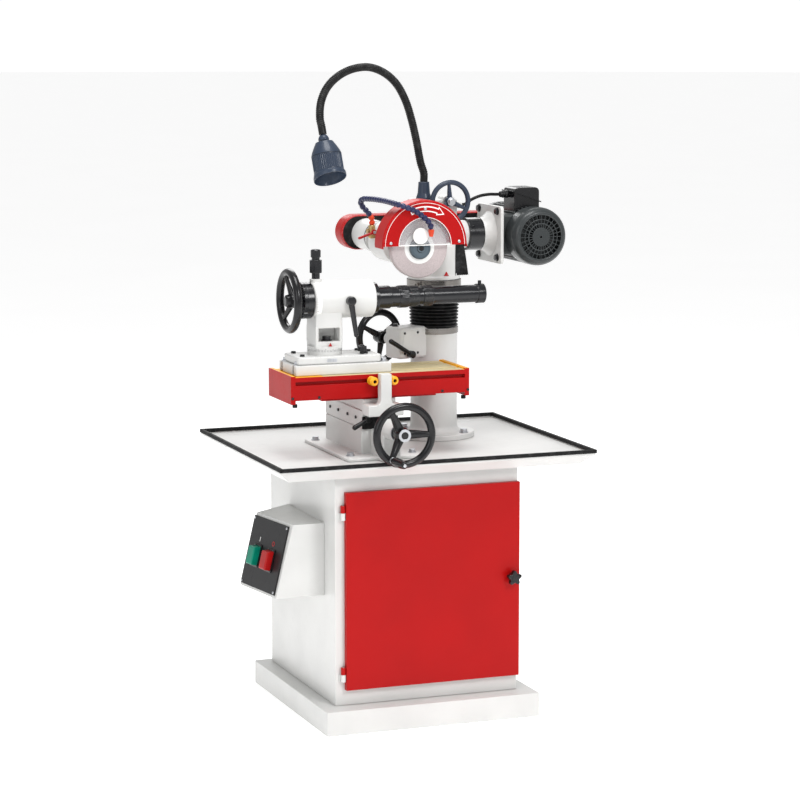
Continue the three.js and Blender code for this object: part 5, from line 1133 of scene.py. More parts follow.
class GRINDER_OT_attachment(PieceOperator, bpy.types.Operator):
    """Build the workhead: its base, swivelling body, plunger and clamps"""

    bl_idname = "grinder.attachment"
    bl_label = "Workhead"

    def build(self):
        left, right, front, back = -303, -55, -132, -2
        notch, half = 22, 8
        rows = (-106.5, -18.5)
        outline = [(left, front), (right, front)]
        for y in rows:
            low, high, deep = y - half, y + half, right - notch
            outline += [(right, low), (deep, low), (deep, high), (right, high)]
        outline += [(right, back), (left, back)]
        for y in reversed(rows):
            low, high, deep = y - half, y + half, left + notch
            outline += [(left, high), (deep, high), (deep, low), (left, low)]
        base = pull(outline, 863.3, 888.3, edge=2.5, corner=3.5)
        make("workhead_base", base, "cast_white", "attachment_base")
        slots = [(x, y) for x in (-290, -68) for y in rows]
        studs = joined(
            bolt((x, y, 888.4), Z, 15, 9) + rod(9, 884, 889, (x, y, 0), turns=40, edge=0.5) for x, y in slots
        )
        detail("workhead_studs", studs, "steel_z", "attachment_base", "bright_steel")

        body = block((-295, -123, 888.6), (-77, -11, 907.6), 4, corner=12)
        body += lathe([(0, 906), (43, 906), (43, 929.6), (0, 929.6)], SWIVEL, "z", 2.5)
        x0, x1, y0, y1 = -242, -172, -103, -31
        wall, shy = 8, 0.4
        for low, high in ((922.6, 941.5), (974, 1041)):
            body += block((x0, y0, low), (x1, y1, high), 3, corner=6)
        for start in (x0, x1 - wall):
            body += block((start, y0, 938), (start + wall, y1, 978), 1.5, corner=2.2)
        body += block((x0 + shy, -61, 938 + shy), (x1 - shy, y1 - shy, 978 - shy), 1.5, corner=4)
        tube_ = [(18.5, -244), (43.5, -244), (46.5, -241), (46.5, -88), (43.5, -85), (18.5, -85)]
        body += lathe(tube_, WORK_SPINDLE, "x", 1.5, closed=True)
        body += rod(15, 1075, 1093.5, PLUNGER, "z", 2)
        body += rod(13, -110.6, -95, (-156, 0, 1041), "y", 1)
        make("workhead_body", body, "cast_white", "attachment_housing")
        scale = ticks(36, 43, 5.5, 0.8, 0.6, (180, 360), at=(-207, -67, 916))
        detail("swivel_scale", scale, "mark_grey", "attachment_housing")
        ring_ = ring(45.5, 47.2, -240, -227.5, WORK_SPINDLE, "x", 0.5)
        detail("workhead_dial", ring_, "label_white", "attachment_housing")
        lines = ticks(60, 47.2, 4.0, 0.7, 0.8, at=(-240, -67, 1041), axis="x")
        detail("workhead_dial_lines", lines, "mark_grey", "attachment_housing")
        pointer = pull([(-5, 0), (5, 0), (0, 9)], -0.5, 1.4, (-207, -111.4, 930.5), "y", 0.3, corner=0.6)
        detail("swivel_pointer", pointer, "red_plastic", "attachment_housing", "red_plastic")
        plate = pull(box_outline(-13, -4, 13, 4), -124, -122.6, (-207, 0, 898), "y", 0.4, corner=1)
        detail("swivel_plate", plate, "steel_x", "attachment_housing", "bright_steel")
        inner = bolt((-207, -81, 941.4), Z, 19, 12)
        detail("recess_bolt", inner, "oxide_z", "attachment_housing", "black_steel")
        caps = [
            (-110, -32, 907.6), (-110, -95, 907.6), (-90, -60, 907.6), (-276, -32, 907.6),
            (-276, -100, 907.6),
        ]
        screws = joined(cap_screw(p, Z, 6, 5) for p in caps)
        detail("workhead_screws", screws, "oxide_z", "attachment_housing", "black_steel")

        profile = [
            (0, 1061), (4, 1061), (4, 1093.8), (10, 1093.8), (10, 1107.8), (15, 1107.8), (15, 1139.8),
            (10, 1139.8), (10, 1145.8), (12.5, 1145.8), (12.5, 1163), (9, 1165.8), (0, 1165.8),
        ]
        plunger = lathe(profile, PLUNGER, "z", 1, flute=(28, 0.9, 1110, 1137.5))
        make("plunger_body", plunger, "oxide_z", "index_plunger")
        tip = (-143, -119.8, 957)
        lever = rod(11.5, -129, -110.8, (-156, 0, 1041), "y", 3)
        lever += bar((-156, -119.8, 1041), tip, 7.6, 5.6) + ball(tip, 5.9)
        make("work_lever", lever, "oxide_z", "attachment_clamp_lever")
        a = full_turn(96)
        star = polar(11 + 1.0 * np.cos(8 * a), a)
        knob = pull(star, 914, 927, (-121, -101, 0), edge=2.5, steps=5)
        knob += rod(6, 907.9, 916, (-121, -101, 0)) + rod(6, 926, 929.9, (-121, -101, 0), edge=1.5)
        make("work_knob", knob, "black_plastic", "attachment_clamp_knob")


class GRINDER_OT_arbor(PieceOperator, bpy.types.Operator):
    """Build the work spindle, its index plate and its handwheel"""

    bl_idname = "grinder.arbor"
    bl_label = "Work spindle"

    def build(self):
        at = WORK_SPINDLE
        steps = [
            (38, -84.7, -73.7), (28.5, -73.7, -37.7), (25.5, -37.7, -15.7), (27.5, -15.7, 10.3),
            (25.5, 10.3, 36.3), (22.5, 36.3, 48.3), (25.5, 48.3, 74.3), (22, 74.3, 194.3),
            (24.5, 194.3, 214.3),
        ]
        profile = [(0, -307), (9, -307), (9, -243.7), (18, -243.7), (18, -84.7)]
        for r, low, high in steps:
            profile += [(r, low), (r, high)]
        profile += [(11, 214.3), (11, 124.3), (0, 124.3)]
        spindle = lathe(profile, at, "x", 1.2)
        spindle += cap_screw((204.3, -67, 1062), Z, 4.5, 11.5)
        make("work_arbor", spindle, "oxide_x", "attachment_spindle")
        knurls = [(27.8, -12.5, 7), (25.8, 13, 34), (25.8, 51, 72)]
        grips = joined(
            ring(20, r, low, high, at, "x", 0.6, flute=(56, 0.7, low + 0.7, high - 0.7))
            for r, low, high in knurls
        )
        detail("arbor_knurls", grips, "oxide_x", "attachment_spindle")
        count = 20
        a = full_turn(count * 16)
        phase = np.abs((a * count / (2 * np.pi) + 0.5) % 1 - 0.5)
        reach = np.where(phase < 0.12, 43.8, 45.0)
        toothed = polar(reach, a)[:, ::-1]
        plate = pull(toothed, -271, -262, at, "x", 0.3, steps=2)
        plate += ring(9.3, 45, -262.5, -246, at, "x", 1)
        make("toothed_index_plate", plate, "oxide_x", "index_plate")
        wheel = handwheel((80, 10, 18, 34, 8, 8), (20, 140, 260), 9.3).put((-273, -67, 1041), LEFTWARD)
        make("work_handwheel", wheel, "black_plastic", "attachment_handwheel")
        nut = pull(hex_outline(21), 0, 5, (-308.6, -67, 1041), X, edge=0.8, corner=1)
        nut += rod(14, 5, 7.4, (-308.6, -67, 1041), "x")
        detail("work_wheel_nut", nut, "oxide_x", "attachment_handwheel", "black_steel")


class GRINDER_OT_column(PieceOperator, bpy.types.Operator):
    """Build the column, the gearbox and the handwheel that lifts the head"""

    bl_idname = "grinder.column"
    bl_label = "Column"

    def build(self):
        profile = [
            (0, 655.3), (105, 655.3), (105, 667.3), (103, 669.3), (70, 669.3), (60, 680), (60, 924),
            (60, 939), (52, 939), (52, 700.3), (0, 700.3),
        ]
        body = lathe(profile, COLUMN, "z", [2, 2, 2, 2, 6, 14, 1, 1, 1, 1, 1], steps=5)
        make("cast_column", body, "cast_white", "column")
        band = ring(60.1, 62.5, 924, 939, COLUMN, "z", 0.6)
        detail("column_band", band, "dark_steel", "column", "bright_steel")
        a = np.radians([40, 130, 220, 310])
        bolts = joined(bolt(COLUMN + (88 * math.cos(t), 88 * math.sin(t), 669.4), Z, 17, 10) for t in a)
        detail("column_bolts", bolts, "steel_z", "column", "bright_steel")
        box = block((-135, -32, 866), (-30, 32, 946), 7, corner=10)
        box = box.put(COLUMN, GEARBOX) + rod(16, 30, 46, by_gearbox(-112, 0, 912), BACK, 2)
        box += pull(circle(60, 44), 868, 944, COLUMN, edge=1)
        make("gearbox", box, "cast_white", "elevation_gearbox")
        lid = block((-126, -33.2, 874), (-74, -31.5, 938), 0.6, corner=5).put(COLUMN, GEARBOX)
        detail("gearbox_lid", lid, "cast_white", "elevation_gearbox")
        places = [(u, z) for z in (880, 932) for u in (-121, -79)]
        screws = joined(cap_screw(by_gearbox(u, -33.1, z), -BACK, 3.4, 0.6) for u, z in places)
        screws += bolt(by_gearbox(-118, 10, 946), Z, 12, 7)
        detail("gearbox_screws", screws, "oxide_z", "elevation_gearbox", "black_steel")
        rows = np.array([ALONG, -Z, BACK])
        wheel = handwheel((72, 9, 17, 34, 8, 8), (90, 210, 330))
        axle, hub = by_gearbox(-112, 0, 912), by_gearbox(-112, 61, 912)
        wheel = wheel.put(hub, rows) + rod(8, 0, 62, axle, BACK)
        make("lift_handwheel", wheel, "black_plastic", "elevation_handwheel")
        nut = pull(hex_outline(18), 33.8, 39, hub, BACK, edge=0.8, corner=1)
        detail("lift_wheel_nut", nut, "steel_y", "elevation_handwheel", "bright_steel")
        u, w, reach = -105, -40.3, 76
        pivot = by_gearbox(u, w, 878)
        tip = by_gearbox(u - reach * math.cos(math.radians(30)), w, 916)
        lever = rod(9.5, -8, 8, pivot, BACK, 2) + bar(pivot, tip, 5.2, 6.3) + ball(tip, 6.4)
        make("column_lever", lever, "black_plastic", "column_clamp_lever")
        screw = rod(12, 700.6, 985, COLUMN, "z", 1)
        make("lift_screw", screw, "steel_z", "elevation_screw")


class GRINDER_OT_lift(PieceOperator, bpy.types.Operator):
    """Build the quill, the clamp band and the bellows that cover the quill"""

    bl_idname = "grinder.lift"
    bl_label = "Quill and bellows"

    def build(self):
        profile = [
            (13.5, 770), (51.5, 770), (51.5, 1042.1), (66, 1042.1), (66, 1062.4), (0, 1062.4),
            (0, 1050.4), (13.5, 1050.4),
        ]
        quill = lathe(profile, COLUMN, "z", 1, closed=True)
        make("ground_quill", quill, "steel_z", "column_quill")
        band = ring(66.3, 69.8, 1042.2, 1062.3, COLUMN, "z", 0.6)
        out = sideways(214)
        base = COLUMN + (0, 0, 1052.2)
        side = np.cross(Z, out)
        band += block((66, -9, -9), (74, 9, 9), 1.2).put(base, [out, side, Z])
        band += cap_screw(base + out * 73, out, 5, 8)
        make("clamp_band", band, "dark_steel", "upper_clamp_band")
        pointer = pull([(-7, 0), (7, 0), (0, 11)], -1, 1.4, edge=0.3, corner=0.8)
        facing = sideways(278)
        pointer = pointer.put(COLUMN + facing * 64.3 + Z * 1074, [np.cross(Z, facing), Z, facing])
        detail("height_pointer", pointer, "red_plastic", "head_casting", "red_plastic")
        count = sizes().bellows_folds
        low, high = 939.6, 1041.5
        rows = np.linspace(0, 1, count * 10 + 1)
        wave = 0.5 - 0.5 * np.cos(2 * np.pi * count * rows)
        wave = wave**0.7
        radius = (57 + 2.5 * rows) + (4.6 + 2.6 * rows) * wave
        level = low + (high - low) * rows
        outer = np.stack([radius, level], -1)
        inner = [(53.6, high), (53.6, low)]
        folded = lathe(np.vstack([outer, inner]), COLUMN, "z", 0, 1, closed=True, turns=96)
        made = make("folded_bellows", folded, "soft_rubber", "bellows")
        made.parent = None
        del made["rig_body"]
        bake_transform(made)


class GRINDER_OT_head(PieceOperator, bpy.types.Operator):
    """Build the head's casting and the handwheel on it"""

    bl_idname = "grinder.head"
    bl_label = "Head"

    def build(self):
        neck = [
            (0, 1062.8), (67, 1062.8), (67, 1069.8), (65, 1071.8), (64, 1074), (64, 1120), (58, 1150),
            (0, 1150),
        ]
        body = lathe(neck, COLUMN, "z", [1, 1.5, 2, 1, 2, 12, 4, 1])
        body += block((58, 93, 1118), (220, 197, 1214), 9, corner=13)
        body += block((105, 105, 1128), (215, 187, 1265), 5.5, corner=9)
        body += rod(14, 103, 145, (187, 0, 1261), "y", 2)
        body += rod(36, 157, 251.7, (0, 150, 1171), "x", 2)
        body += ring(37.3, 52, 95, 205, (58, 0, 1156), "y", 3)
        body += rod(9, 214, 237, (0, 140, 1248), "x", 1)
        make("head_body", body, "cast_white", "head_casting")
        ears = block((88, 106, 1206), (104, 194, 1222), 3)
        ears += repeated(bolt((0, 0, 0), Z, 13, 8), [(96, 124, 1222), (96, 176, 1222)])
        detail("ring_clamp_ear", ears, "cast_white", "head_casting")
        nut = pull(hex_outline(17), 0, 5.5, (214.6, 140, 1248), X, edge=0.6, corner=0.8)
        detail("head_gland_nut", nut, "black_plastic", "head_casting", "black_plastic")
        at = (187, 100, 1261)
        wheel = handwheel((55, 6.5, 13, 20, 6, 2), (95, 215, 335)).put(at, FRONTWARD)
        wheel += rod(6, -22, 2).put(at, FRONTWARD)
        make("top_handwheel", wheel, "slate", "head_handwheel")
        hub = bolt((187, 80.6, 1261), -Y, 15, 8)
        detail("top_wheel_nut", hub, "steel_y", "head_handwheel", "bright_steel")


class GRINDER_OT_spindle(PieceOperator, bpy.types.Operator):
    """Build the spindle's housing, its shaft and the grinding wheel"""

    bl_idname = "grinder.spindle"
    bl_label = "Grinding spindle"

    def build(self):
        tube_ = [(17.5, -2.5), (30, -2.5), (30, 22), (37, 22), (37, 321.7), (17.5, 321.7)]
        housing = lathe(tube_, SPINDLE, "y", 1.5, closed=True)
        clamp = (44, 0, 1164)
        housing += ring(20, 41, 215, 321.7, clamp, "y", 3)
        make("spindle_tube", housing, "cast_white", "spindle_housing")
        groove = ring(37.05, 41.6, 219, 224, clamp, "y", 0.5)
        detail("housing_ring", groove, "oxide_y", "spindle_housing", "black_steel")
        spots = round_y(clamp[::2], 30, 214.6, (30, 110, 190, 270))
        screws = joined(cap_screw(p, -Y, 3.6, 2.6) for p in spots)
        detail("housing_screws", screws, "oxide_y", "spindle_housing", "black_steel")
        profile = [
            (0, -26.7), (16, -26.7), (16, -7.7), (25, -7.7), (25, -3.5), (17, -3.5), (17, 341), (27, 341),
            (27, 345), (22, 345), (22, 358), (27, 358), (27, 362), (0, 362),
        ]
        make("spindle_bar", lathe(profile, SPINDLE, "y", 0.6), "steel_y", "spindle_shaft")
        stone = [
            (16.3, -27), (36, -27), (36, -28), (73.5, -28), (75, -26.5), (75, -9.5), (73.5, -8),
            (16.3, -8),
        ]
        wheel = lathe(stone, SPINDLE, "y", 0.5, closed=True, turns=120)
        make("abrasive_wheel", wheel, "stone", "grinding_wheel")
        paper = ring(17, 39.5, -28.6, -27.1, SPINDLE, "y", 0.2, turns=96)
        detail("wheel_paper", paper, "label_white", "grinding_wheel")
        plate = [
            (0, -42.3), (5, -42.3), (9.5, -41.4), (11, -38), (25, -37), (27.4, -35), (27.4, -27.3),
            (0, -27.3),
        ]
        make("steel_flange", lathe(plate, SPINDLE, "y", 0.8), "hub_steel", "wheel_flange")
        nut = pull(hex_outline(12), -43.2, -42, SPINDLE, "y", 0.3, corner=0.6)
        detail("spindle_nut", nut, "oxide_y", "wheel_flange", "black_steel")
        # Black discs on the flange: painted shade standing for its four dark holes.
        hole_shades = joined(
            rod(2.1, -36.6, -35, p, "y", 0.2, turns=24) for p in round_y(SPINDLE[::2], 17.5, 0, QUARTERS)
        )
        detail("flange_holes", hole_shades, "rubber", "wheel_flange", "black_rubber")


def half_ring(inner, outer):
    """The outline of a half ring above the guard's centre, as x and z."""
    return np.vstack([arc(GUARD, outer, 0, 180, 64), arc(GUARD, inner, 180, 0, 64)])


def curved_arrow(inner, outer, tail, neck, tip, flare):
    """An arrow along the guard's arc, with its three angles in degrees, as x and z."""
    head = [arc(GUARD, outer + flare, neck, neck, 1)[0], arc(GUARD, (inner + outer) / 2, tip, tip, 1)[0]]
    head += [arc(GUARD, inner - flare, neck, neck, 1)[0]]
    return np.vstack([arc(GUARD, outer, tail, neck, 40), head, arc(GUARD, inner, neck, tail, 40)])


class GRINDER_OT_guard(PieceOperator, bpy.types.Operator):
    """Build the wheel guard, its window and its spark flap"""

    bl_idname = "grinder.guard"
    bl_label = "Wheel guard"

    def build(self):
        profile = [
            (69, -50), (110, -50), (113, -47), (113, 8), (30.3, 8), (30.3, 5), (110, 5), (110, -47),
            (69, -47),
        ]
        p, bow = softened(profile, [0.8, 3, 3, 0.8, 0.6, 0.6, 1, 1, 0.8], 4)
        a = np.radians(np.linspace(0, 180, 121))[None]
        r, d = p[:, :1], p[:, 1:]
        x, z = GUARD[0] + r * np.cos(a), GUARD[1] + r * np.sin(a)
        points = np.stack([x, np.broadcast_to(d, x.shape), z], -1)
        rim = np.repeat(bow[:, None], a.size, 1)
        sheet = skin(points.transpose(1, 0, 2), (False, True), (True, True), rim.T)
        rear = pull(arc(GUARD, 108, 0, 180, 64), 5.2, 7.8, axis="y", edge=0.3, steps=2)
        collar = ring(30.3, 40, 5, 21, SPINDLE, "y", 1.5)
        make("sheet_guard", sheet + rear + collar, "red_paint", "wheel_guard")
        # Thin white arcs along the front face's inner and outer edges: painted highlights where those edges
        # catch the light.
        line = pull(half_ring(69.2, 70.6), -50.35, -49.8, axis="y", edge=0.1, steps=2)
        line += pull(half_ring(105.2, 106.3), -50.35, -49.8, axis="y", edge=0.1, steps=2)
        detail("guard_lines", line, "label_white", "wheel_guard")
        spots = [(-91, 8), (91, 8), (0, 92)]
        rivets = joined(dome((GUARD[0] + x, -50, GUARD[1] + z), -Y, 4.2, 2.2) for x, z in spots)
        detail("guard_rivets", rivets, "steel_y", "wheel_guard", "bright_steel")
        arrow = pull(curved_arrow(84, 98, 115, 69, 56, 4.5), -50.5, -49.8, axis="y", edge=0.1, steps=2)
        detail("turn_arrow", arrow, "label_white", "wheel_guard")
        inlay = pull(curved_arrow(87, 95, 113, 67.6, 59, 3.4), -50.9, -50.3, axis="y", edge=0.1, steps=2)
        detail("turn_arrow_inlay", inlay, "red_paint", "wheel_guard")
        ends = joined(
            block((x0, -49.5, 1158), (x1, 7.5, 1164.5), 0.8) for x0, x1 in ((-47.8, -45), (174.8, 178))
        )
        detail("guard_feet", ends, "red_paint", "wheel_guard")

        pane = pull(arc(GUARD, 79, 0, 180, 80), -46.7, -44.2, axis="y", edge=0.5, steps=3)
        make("window_pane", pane, "clear", "guard_window")
        edge_bar = block((-10, -47.6, 1163.4), (140, -43.9, 1166.0), 0.6)
        detail("window_edge", edge_bar, "label_white", "guard_window")
        knob_at = (52, 0, 1188)
        knob = lathe([
            (0, -56), (18, -56), (20.5, -54), (20.5, -51), (6, -51), (6, -44.2), (0, -44.2),
        ], knob_at, "y", 1)
        detail("window_knob", knob, "label_white", "guard_window")

        left, right, low = 152.5, 174.5, 1084.0
        rows = np.linspace(0, 1, 33)[:, None]
        cols = np.linspace(0, 1, 57)[None]
        saw = 10 * (1 - np.abs((cols * 7) % 1 * 2 - 1))
        bottom = low + saw
        z = 1178 + (bottom - 1178) * rows
        fall = np.clip((1164 - z) / 80, 0, 1)
        x = (left - fall) + ((right - left) + 14 * fall) * cols
        y = -34.5 + 1.1 * np.sin(5.5 * rows + 2 * cols) * rows
        front = np.stack([x, y - 1.2, z], -1)
        back = np.stack([x, y + 1.2, z], -1)
        flap = skin(np.concatenate([front, back[:, ::-1]], 1), (False, True), (True, True))
        make("rubber_flap", flap, "rubber", "spark_flap")


def stadium(reach):
    """A long outline with round ends, as x and z."""
    right, level = MOTOR[::2]
    return np.vstack([arc((right, level), reach, -90, 90, 40), arc((23.0, level), reach, 90, 270, 40)])


def belt_line(lift):
    """The belt's line round its two pulleys, lifted off them, as x and z. The straight runs leave
    each pulley square to a line turned by asin(difference of radii / distance) from the centres'."""
    small, large = 22.3 + lift, 31.3 + lift
    step = np.array([MOTOR[0] - SPINDLE[0], MOTOR[2] - SPINDLE[2]])
    lean = math.degrees(math.atan2(step[1], step[0]))
    turn = 90 + math.degrees(math.asin((large - small) / np.linalg.norm(step)))
    far = arc((MOTOR[0], MOTOR[2]), large, lean - turn, lean + turn, 49)
    near = arc((SPINDLE[0], SPINDLE[2]), small, lean + turn, lean + 360 - turn, 49)
    return np.vstack([far, near])


class GRINDER_OT_drive(PieceOperator, bpy.types.Operator):
    """Build the belt and its cover"""

    bl_idname = "grinder.drive"
    bl_label = "Belt drive"

    def build(self):
        cover = pull(stadium(45), 322, 383, axis="y", edge=6, steps=6)
        make("pressed_belt_cover", cover, "red_paint", "belt_cover")
        band = pull(stadium(45.6), 333, 336.5, axis="y", edge=0.5, steps=2)
        detail("belt_cover_seam", band, "red_paint", "belt_cover")
        # A black sheet on the cover's face towards the head: painted shade for the shadowed gap and the dark
        # inside of the cover.
        inside = pull(stadium(42.5), 321.2, 322.4, axis="y", edge=0.3, steps=2)
        detail("belt_cover_inside", inside, "rubber", "belt_cover", "black_rubber")
        spots = [(-8, 1168), (445, 1168), (210, 1204), (210, 1132)]
        screws = joined(dome((x, 381.2, z), Y, 5, 1.7) for x, z in spots)
        detail("belt_cover_screws", screws, "steel_y", "belt_cover", "bright_steel")
        inner, outer = belt_line(0), belt_line(4.5)
        loops = [np.insert(line, 1, y, 1) for line, y in (
            (inner, 345.3), (outer, 346.4), (outer, 356.6), (inner, 357.7), (belt_line(1.2), 351.5),
        )]
        make("vee_belt", skin(np.stack(loops), (True, True)), "rubber", "drive_belt")


class GRINDER_OT_motor(PieceOperator, bpy.types.Operator):
    """Build the motor, its bracket, fan cover, terminal box and cable"""

    bl_idname = "grinder.motor"
    bl_label = "Motor"

    def build(self):
        centre = (0, 150, 1171)
        cone = [(0, 253), (36, 253), (36, 293), (40, 293), (41, 298), (48, 309), (58, 319.5), (0, 319.5)]
        bracket = lathe(cone, centre, "x", [1, 1, 0.4, 0.6, 3, 6, 1, 1])
        bracket += block((319.3, 70, 1097), (328, 230, 1245), 2, corner=10, axis="x")
        make("cast_bracket", bracket, "cast_white", "motor_bracket")
        sleeve = ring(36, 42, 252, 293, centre, "x", 1.4)
        sleeve += cap_screw((262, 113.5, 1191), (0, -0.88, 0.48), 4, 2.4)
        detail("bracket_sleeve", sleeve, "oxide_x", "motor_bracket", "black_steel")
        # A black disc on the bracket's face: painted shade standing for a dark hole.
        eye = rod(7, 317.6, 319.1, (0, 108, 1168), "x", 0.4)
        detail("bracket_hole", eye, "rubber", "motor_bracket", "black_rubber")
        places = [(y, z) for y in (92, 214) for z in (1113, 1232)]
        bolts = joined(bolt((319.2, y, z), -X, 14, 8) for y, z in places)
        detail("bracket_bolts", bolts, "oxide_x", "motor_bracket", "black_steel")

        shell = lathe([
            (9.5, 62), (68, 62), (72.6, 86), (70, 90), (70, 321.7), (9.5, 321.7),
        ], MOTOR, "y", 1.5, closed=True)
        count, deep = 40, 4.0
        a = full_turn(count * 12)
        comb = 68.5 + (deep + 1.5) * np.clip(1.25 * np.cos(count * a) + 0.25, 0, 1)
        shell += pull(polar(comb, a), 96, 284, MOTOR, "y", 0.6, steps=2)
        shell += rod(73, 284, 300, MOTOR, "y", 2.5) + rod(73, 90, 97, MOTOR, "y", 1.5)
        shell += block((328.5, 89, 1119), (372, 211, 1223), 3, corner=6, axis="x")
        make("motor_frame", shell, "motor_cast", "motor_body")
        ties = joined(bolt(p, Y, 9, 5) for p in round_y(MOTOR[::2], 64, 300.2, QUARTERS))
        detail("motor_ties", ties, "oxide_y", "motor_body", "black_steel")

        wall = [
            (55.5, 30.8), (58, 28.4), (63, 29), (69, 33.5), (73.4, 41), (75, 50), (75, 86), (73, 86),
            (73, 50), (71.4, 42), (67.6, 35.4), (62.4, 31.2), (58, 31),
        ]
        can = lathe(wall, MOTOR, "y", 2.2, closed=True)
        can += spokes(block((23, 28.8, -0.9), (57, 31.4, 0.9), 0.3, axis="x", steps=2), 28, MOTOR)
        for inner, outer in ((33, 36), (44, 46)):
            can += ring(inner, outer, 28.5, 31.3, MOTOR, "y", 0.5)
        can += ring(3, 24, 28.4, 31.6, MOTOR, "y", 0.6)
        make("fan_grille", can, "motor_sheet", "motor_fan_cover")
        rim, outwards = round_y(MOTOR[::2], 74.4, 72, QUARTERS), round_y((0, 0), 1, 0, QUARTERS)
        screws = joined(dome(p, away, 3, 1.6) for p, away in zip(rim, outwards))
        detail("fan_cover_screws", screws, "steel_y", "motor_fan_cover", "bright_steel")
        profile = [
            (0, 40), (18, 40), (22, 54), (9, 54), (9, 341), (36, 341), (36, 345), (31, 345), (31, 358),
            (36, 358), (36, 362), (0, 362),
        ]
        rotor = lathe(profile, MOTOR, "y", 0.8)
        rotor += spokes(block((14, 40, -1.5), (57, 54, 1.5), 0.6, axis="x"), 8, MOTOR)
        make("fan_and_pulley", rotor, "oxide_y", "motor_rotor")

        outline = [(371, 1228), (441, 1228), (441, 1290), (371, 1290)]
        round_top = softened(outline, [2, 2, 13, 13], 8)[0]
        box = pull(round_top, 104, 176, axis="y", edge=2.5)
        lip = [(367, 1279), (445, 1251), (445, 1254), (367, 1282)]
        box += pull(lip, 100, 180, axis="y", edge=0.6, corner=0.9)
        gland = [
            (4.3, 344), (6.5, 344), (8, 346), (8, 351), (9.6, 352), (9.6, 356), (8.2, 357), (8.2, 360),
            (10, 361), (10, 366), (8.6, 367), (8.6, 373), (4.3, 373),
        ]
        box += lathe(gland, (0, 140, 1272), "x", 0.7, closed=True)
        make("terminal_case", box, "black_plastic", "terminal_box")
        spots = [(x, y) for x in (384, 428) for y in (113, 167)]
        screws = joined(dome((x, y, 1289.1), Z, 3.4, 0.8) for x, y in spots)
        detail("terminal_screws", screws, "steel_z", "terminal_box", "bright_steel")
        start, end = 237.3, 343.7
        shares = [(0, 0), (0.1, 0.04), (0.27, 0.5), (0.5, 0.88), (0.76, 1.02), (0.9, 1), (1, 1)]
        route = [(start + (end - start) * s, 140, 1248 + 24 * r) for s, r in shares]
        line = curve_through(route, 49)
        cable = make("motor_lead", tube(line, 4.0, 20), "rubber", "motor_cable")


class GRINDER_OT_coolant(PieceOperator, bpy.types.Operator):
    """Build the coolant valve, its lever and the segmented hose"""

    bl_idname = "grinder.coolant"
    bl_label = "Coolant"

    def build(self):
        at = (0, 158, 0)
        body = lathe([
            (0, 1167), (7, 1167), (9, 1170), (9, 1180), (10, 1182), (10, 1186), (9, 1188), (9, 1199),
            (7.5, 1201), (0, 1201),
        ], at, "z", 1)
        level = 1184
        body += rod(7, 0, 7, (0, 158, level), "x", 1)
        body += pull(hex_outline(15), -12, -7.5, (-1, 158, level), X, edge=0.6, corner=0.8)
        body += rod(4, 145, 158, (0, 0, level), "y", 0.5)
        make("valve_body", body, "brass", "coolant_valve")
        tip = (-40, 141.2, 1170)
        lever = rod(7, 137.7, 144.7, (0, 0, level), "y", 1)
        lever += bar((0, 141.2, level), tip, 3.5, 3.4) + ball(tip, 3.5)
        make("valve_handle", lever, "red_plastic", "coolant_valve_lever")
        nut = bolt((0, 137.8, level), -Y, 8, 4, washer=False)
        detail("valve_nut", nut, "steel_y", "coolant_valve_lever", "bright_steel")

        route = [
            (0, 158, 1201.3), (0, 158, 1216), (-12, 156, 1234), (-28, 152, 1250), (-35, 144, 1263),
            (-33, 130, 1270), (-28, 105, 1272), (-22, 60, 1273), (-16, 10, 1272), (-13, -35, 1270),
            (-6, -60, 1267), (10, -68, 1261), (31, -69, 1252), (54, -68, 1236), (70, -68, 1220),
            (74, -68, 1206),
        ]
        line = curve_through(route, 801)
        run = distances(line)
        links = round(run[-1] / 13)
        phase = (run / run[-1] * links) % 1
        shares = [0, 0.06, 0.14, 0.5, 0.72, 0.86, 0.94, 1]
        swell = np.interp(phase, shares, [4.7, 5.0, 7.3, 7.5, 6.8, 5.4, 4.8, 4.7])
        orange = run < 26
        hose = tube(line[~orange], swell[~orange], 20)
        make("hose_links", hose, "navy_plastic", "coolant_hose")
        first = tube(line[orange], swell[orange] * 1.01, 20)
        detail("hose_first_links", first, "orange_plastic", "coolant_hose")
        funnel = [(1.5, -12.7), (4.5, -12.7), (7.4, 0), (7.4, 5), (3, 5), (1.5, 0)]
        spray = lathe(funnel, (74, -68, 1200), "z", 0.6, closed=True)
        detail("hose_nozzle", spray, "orange_plastic", "coolant_hose")


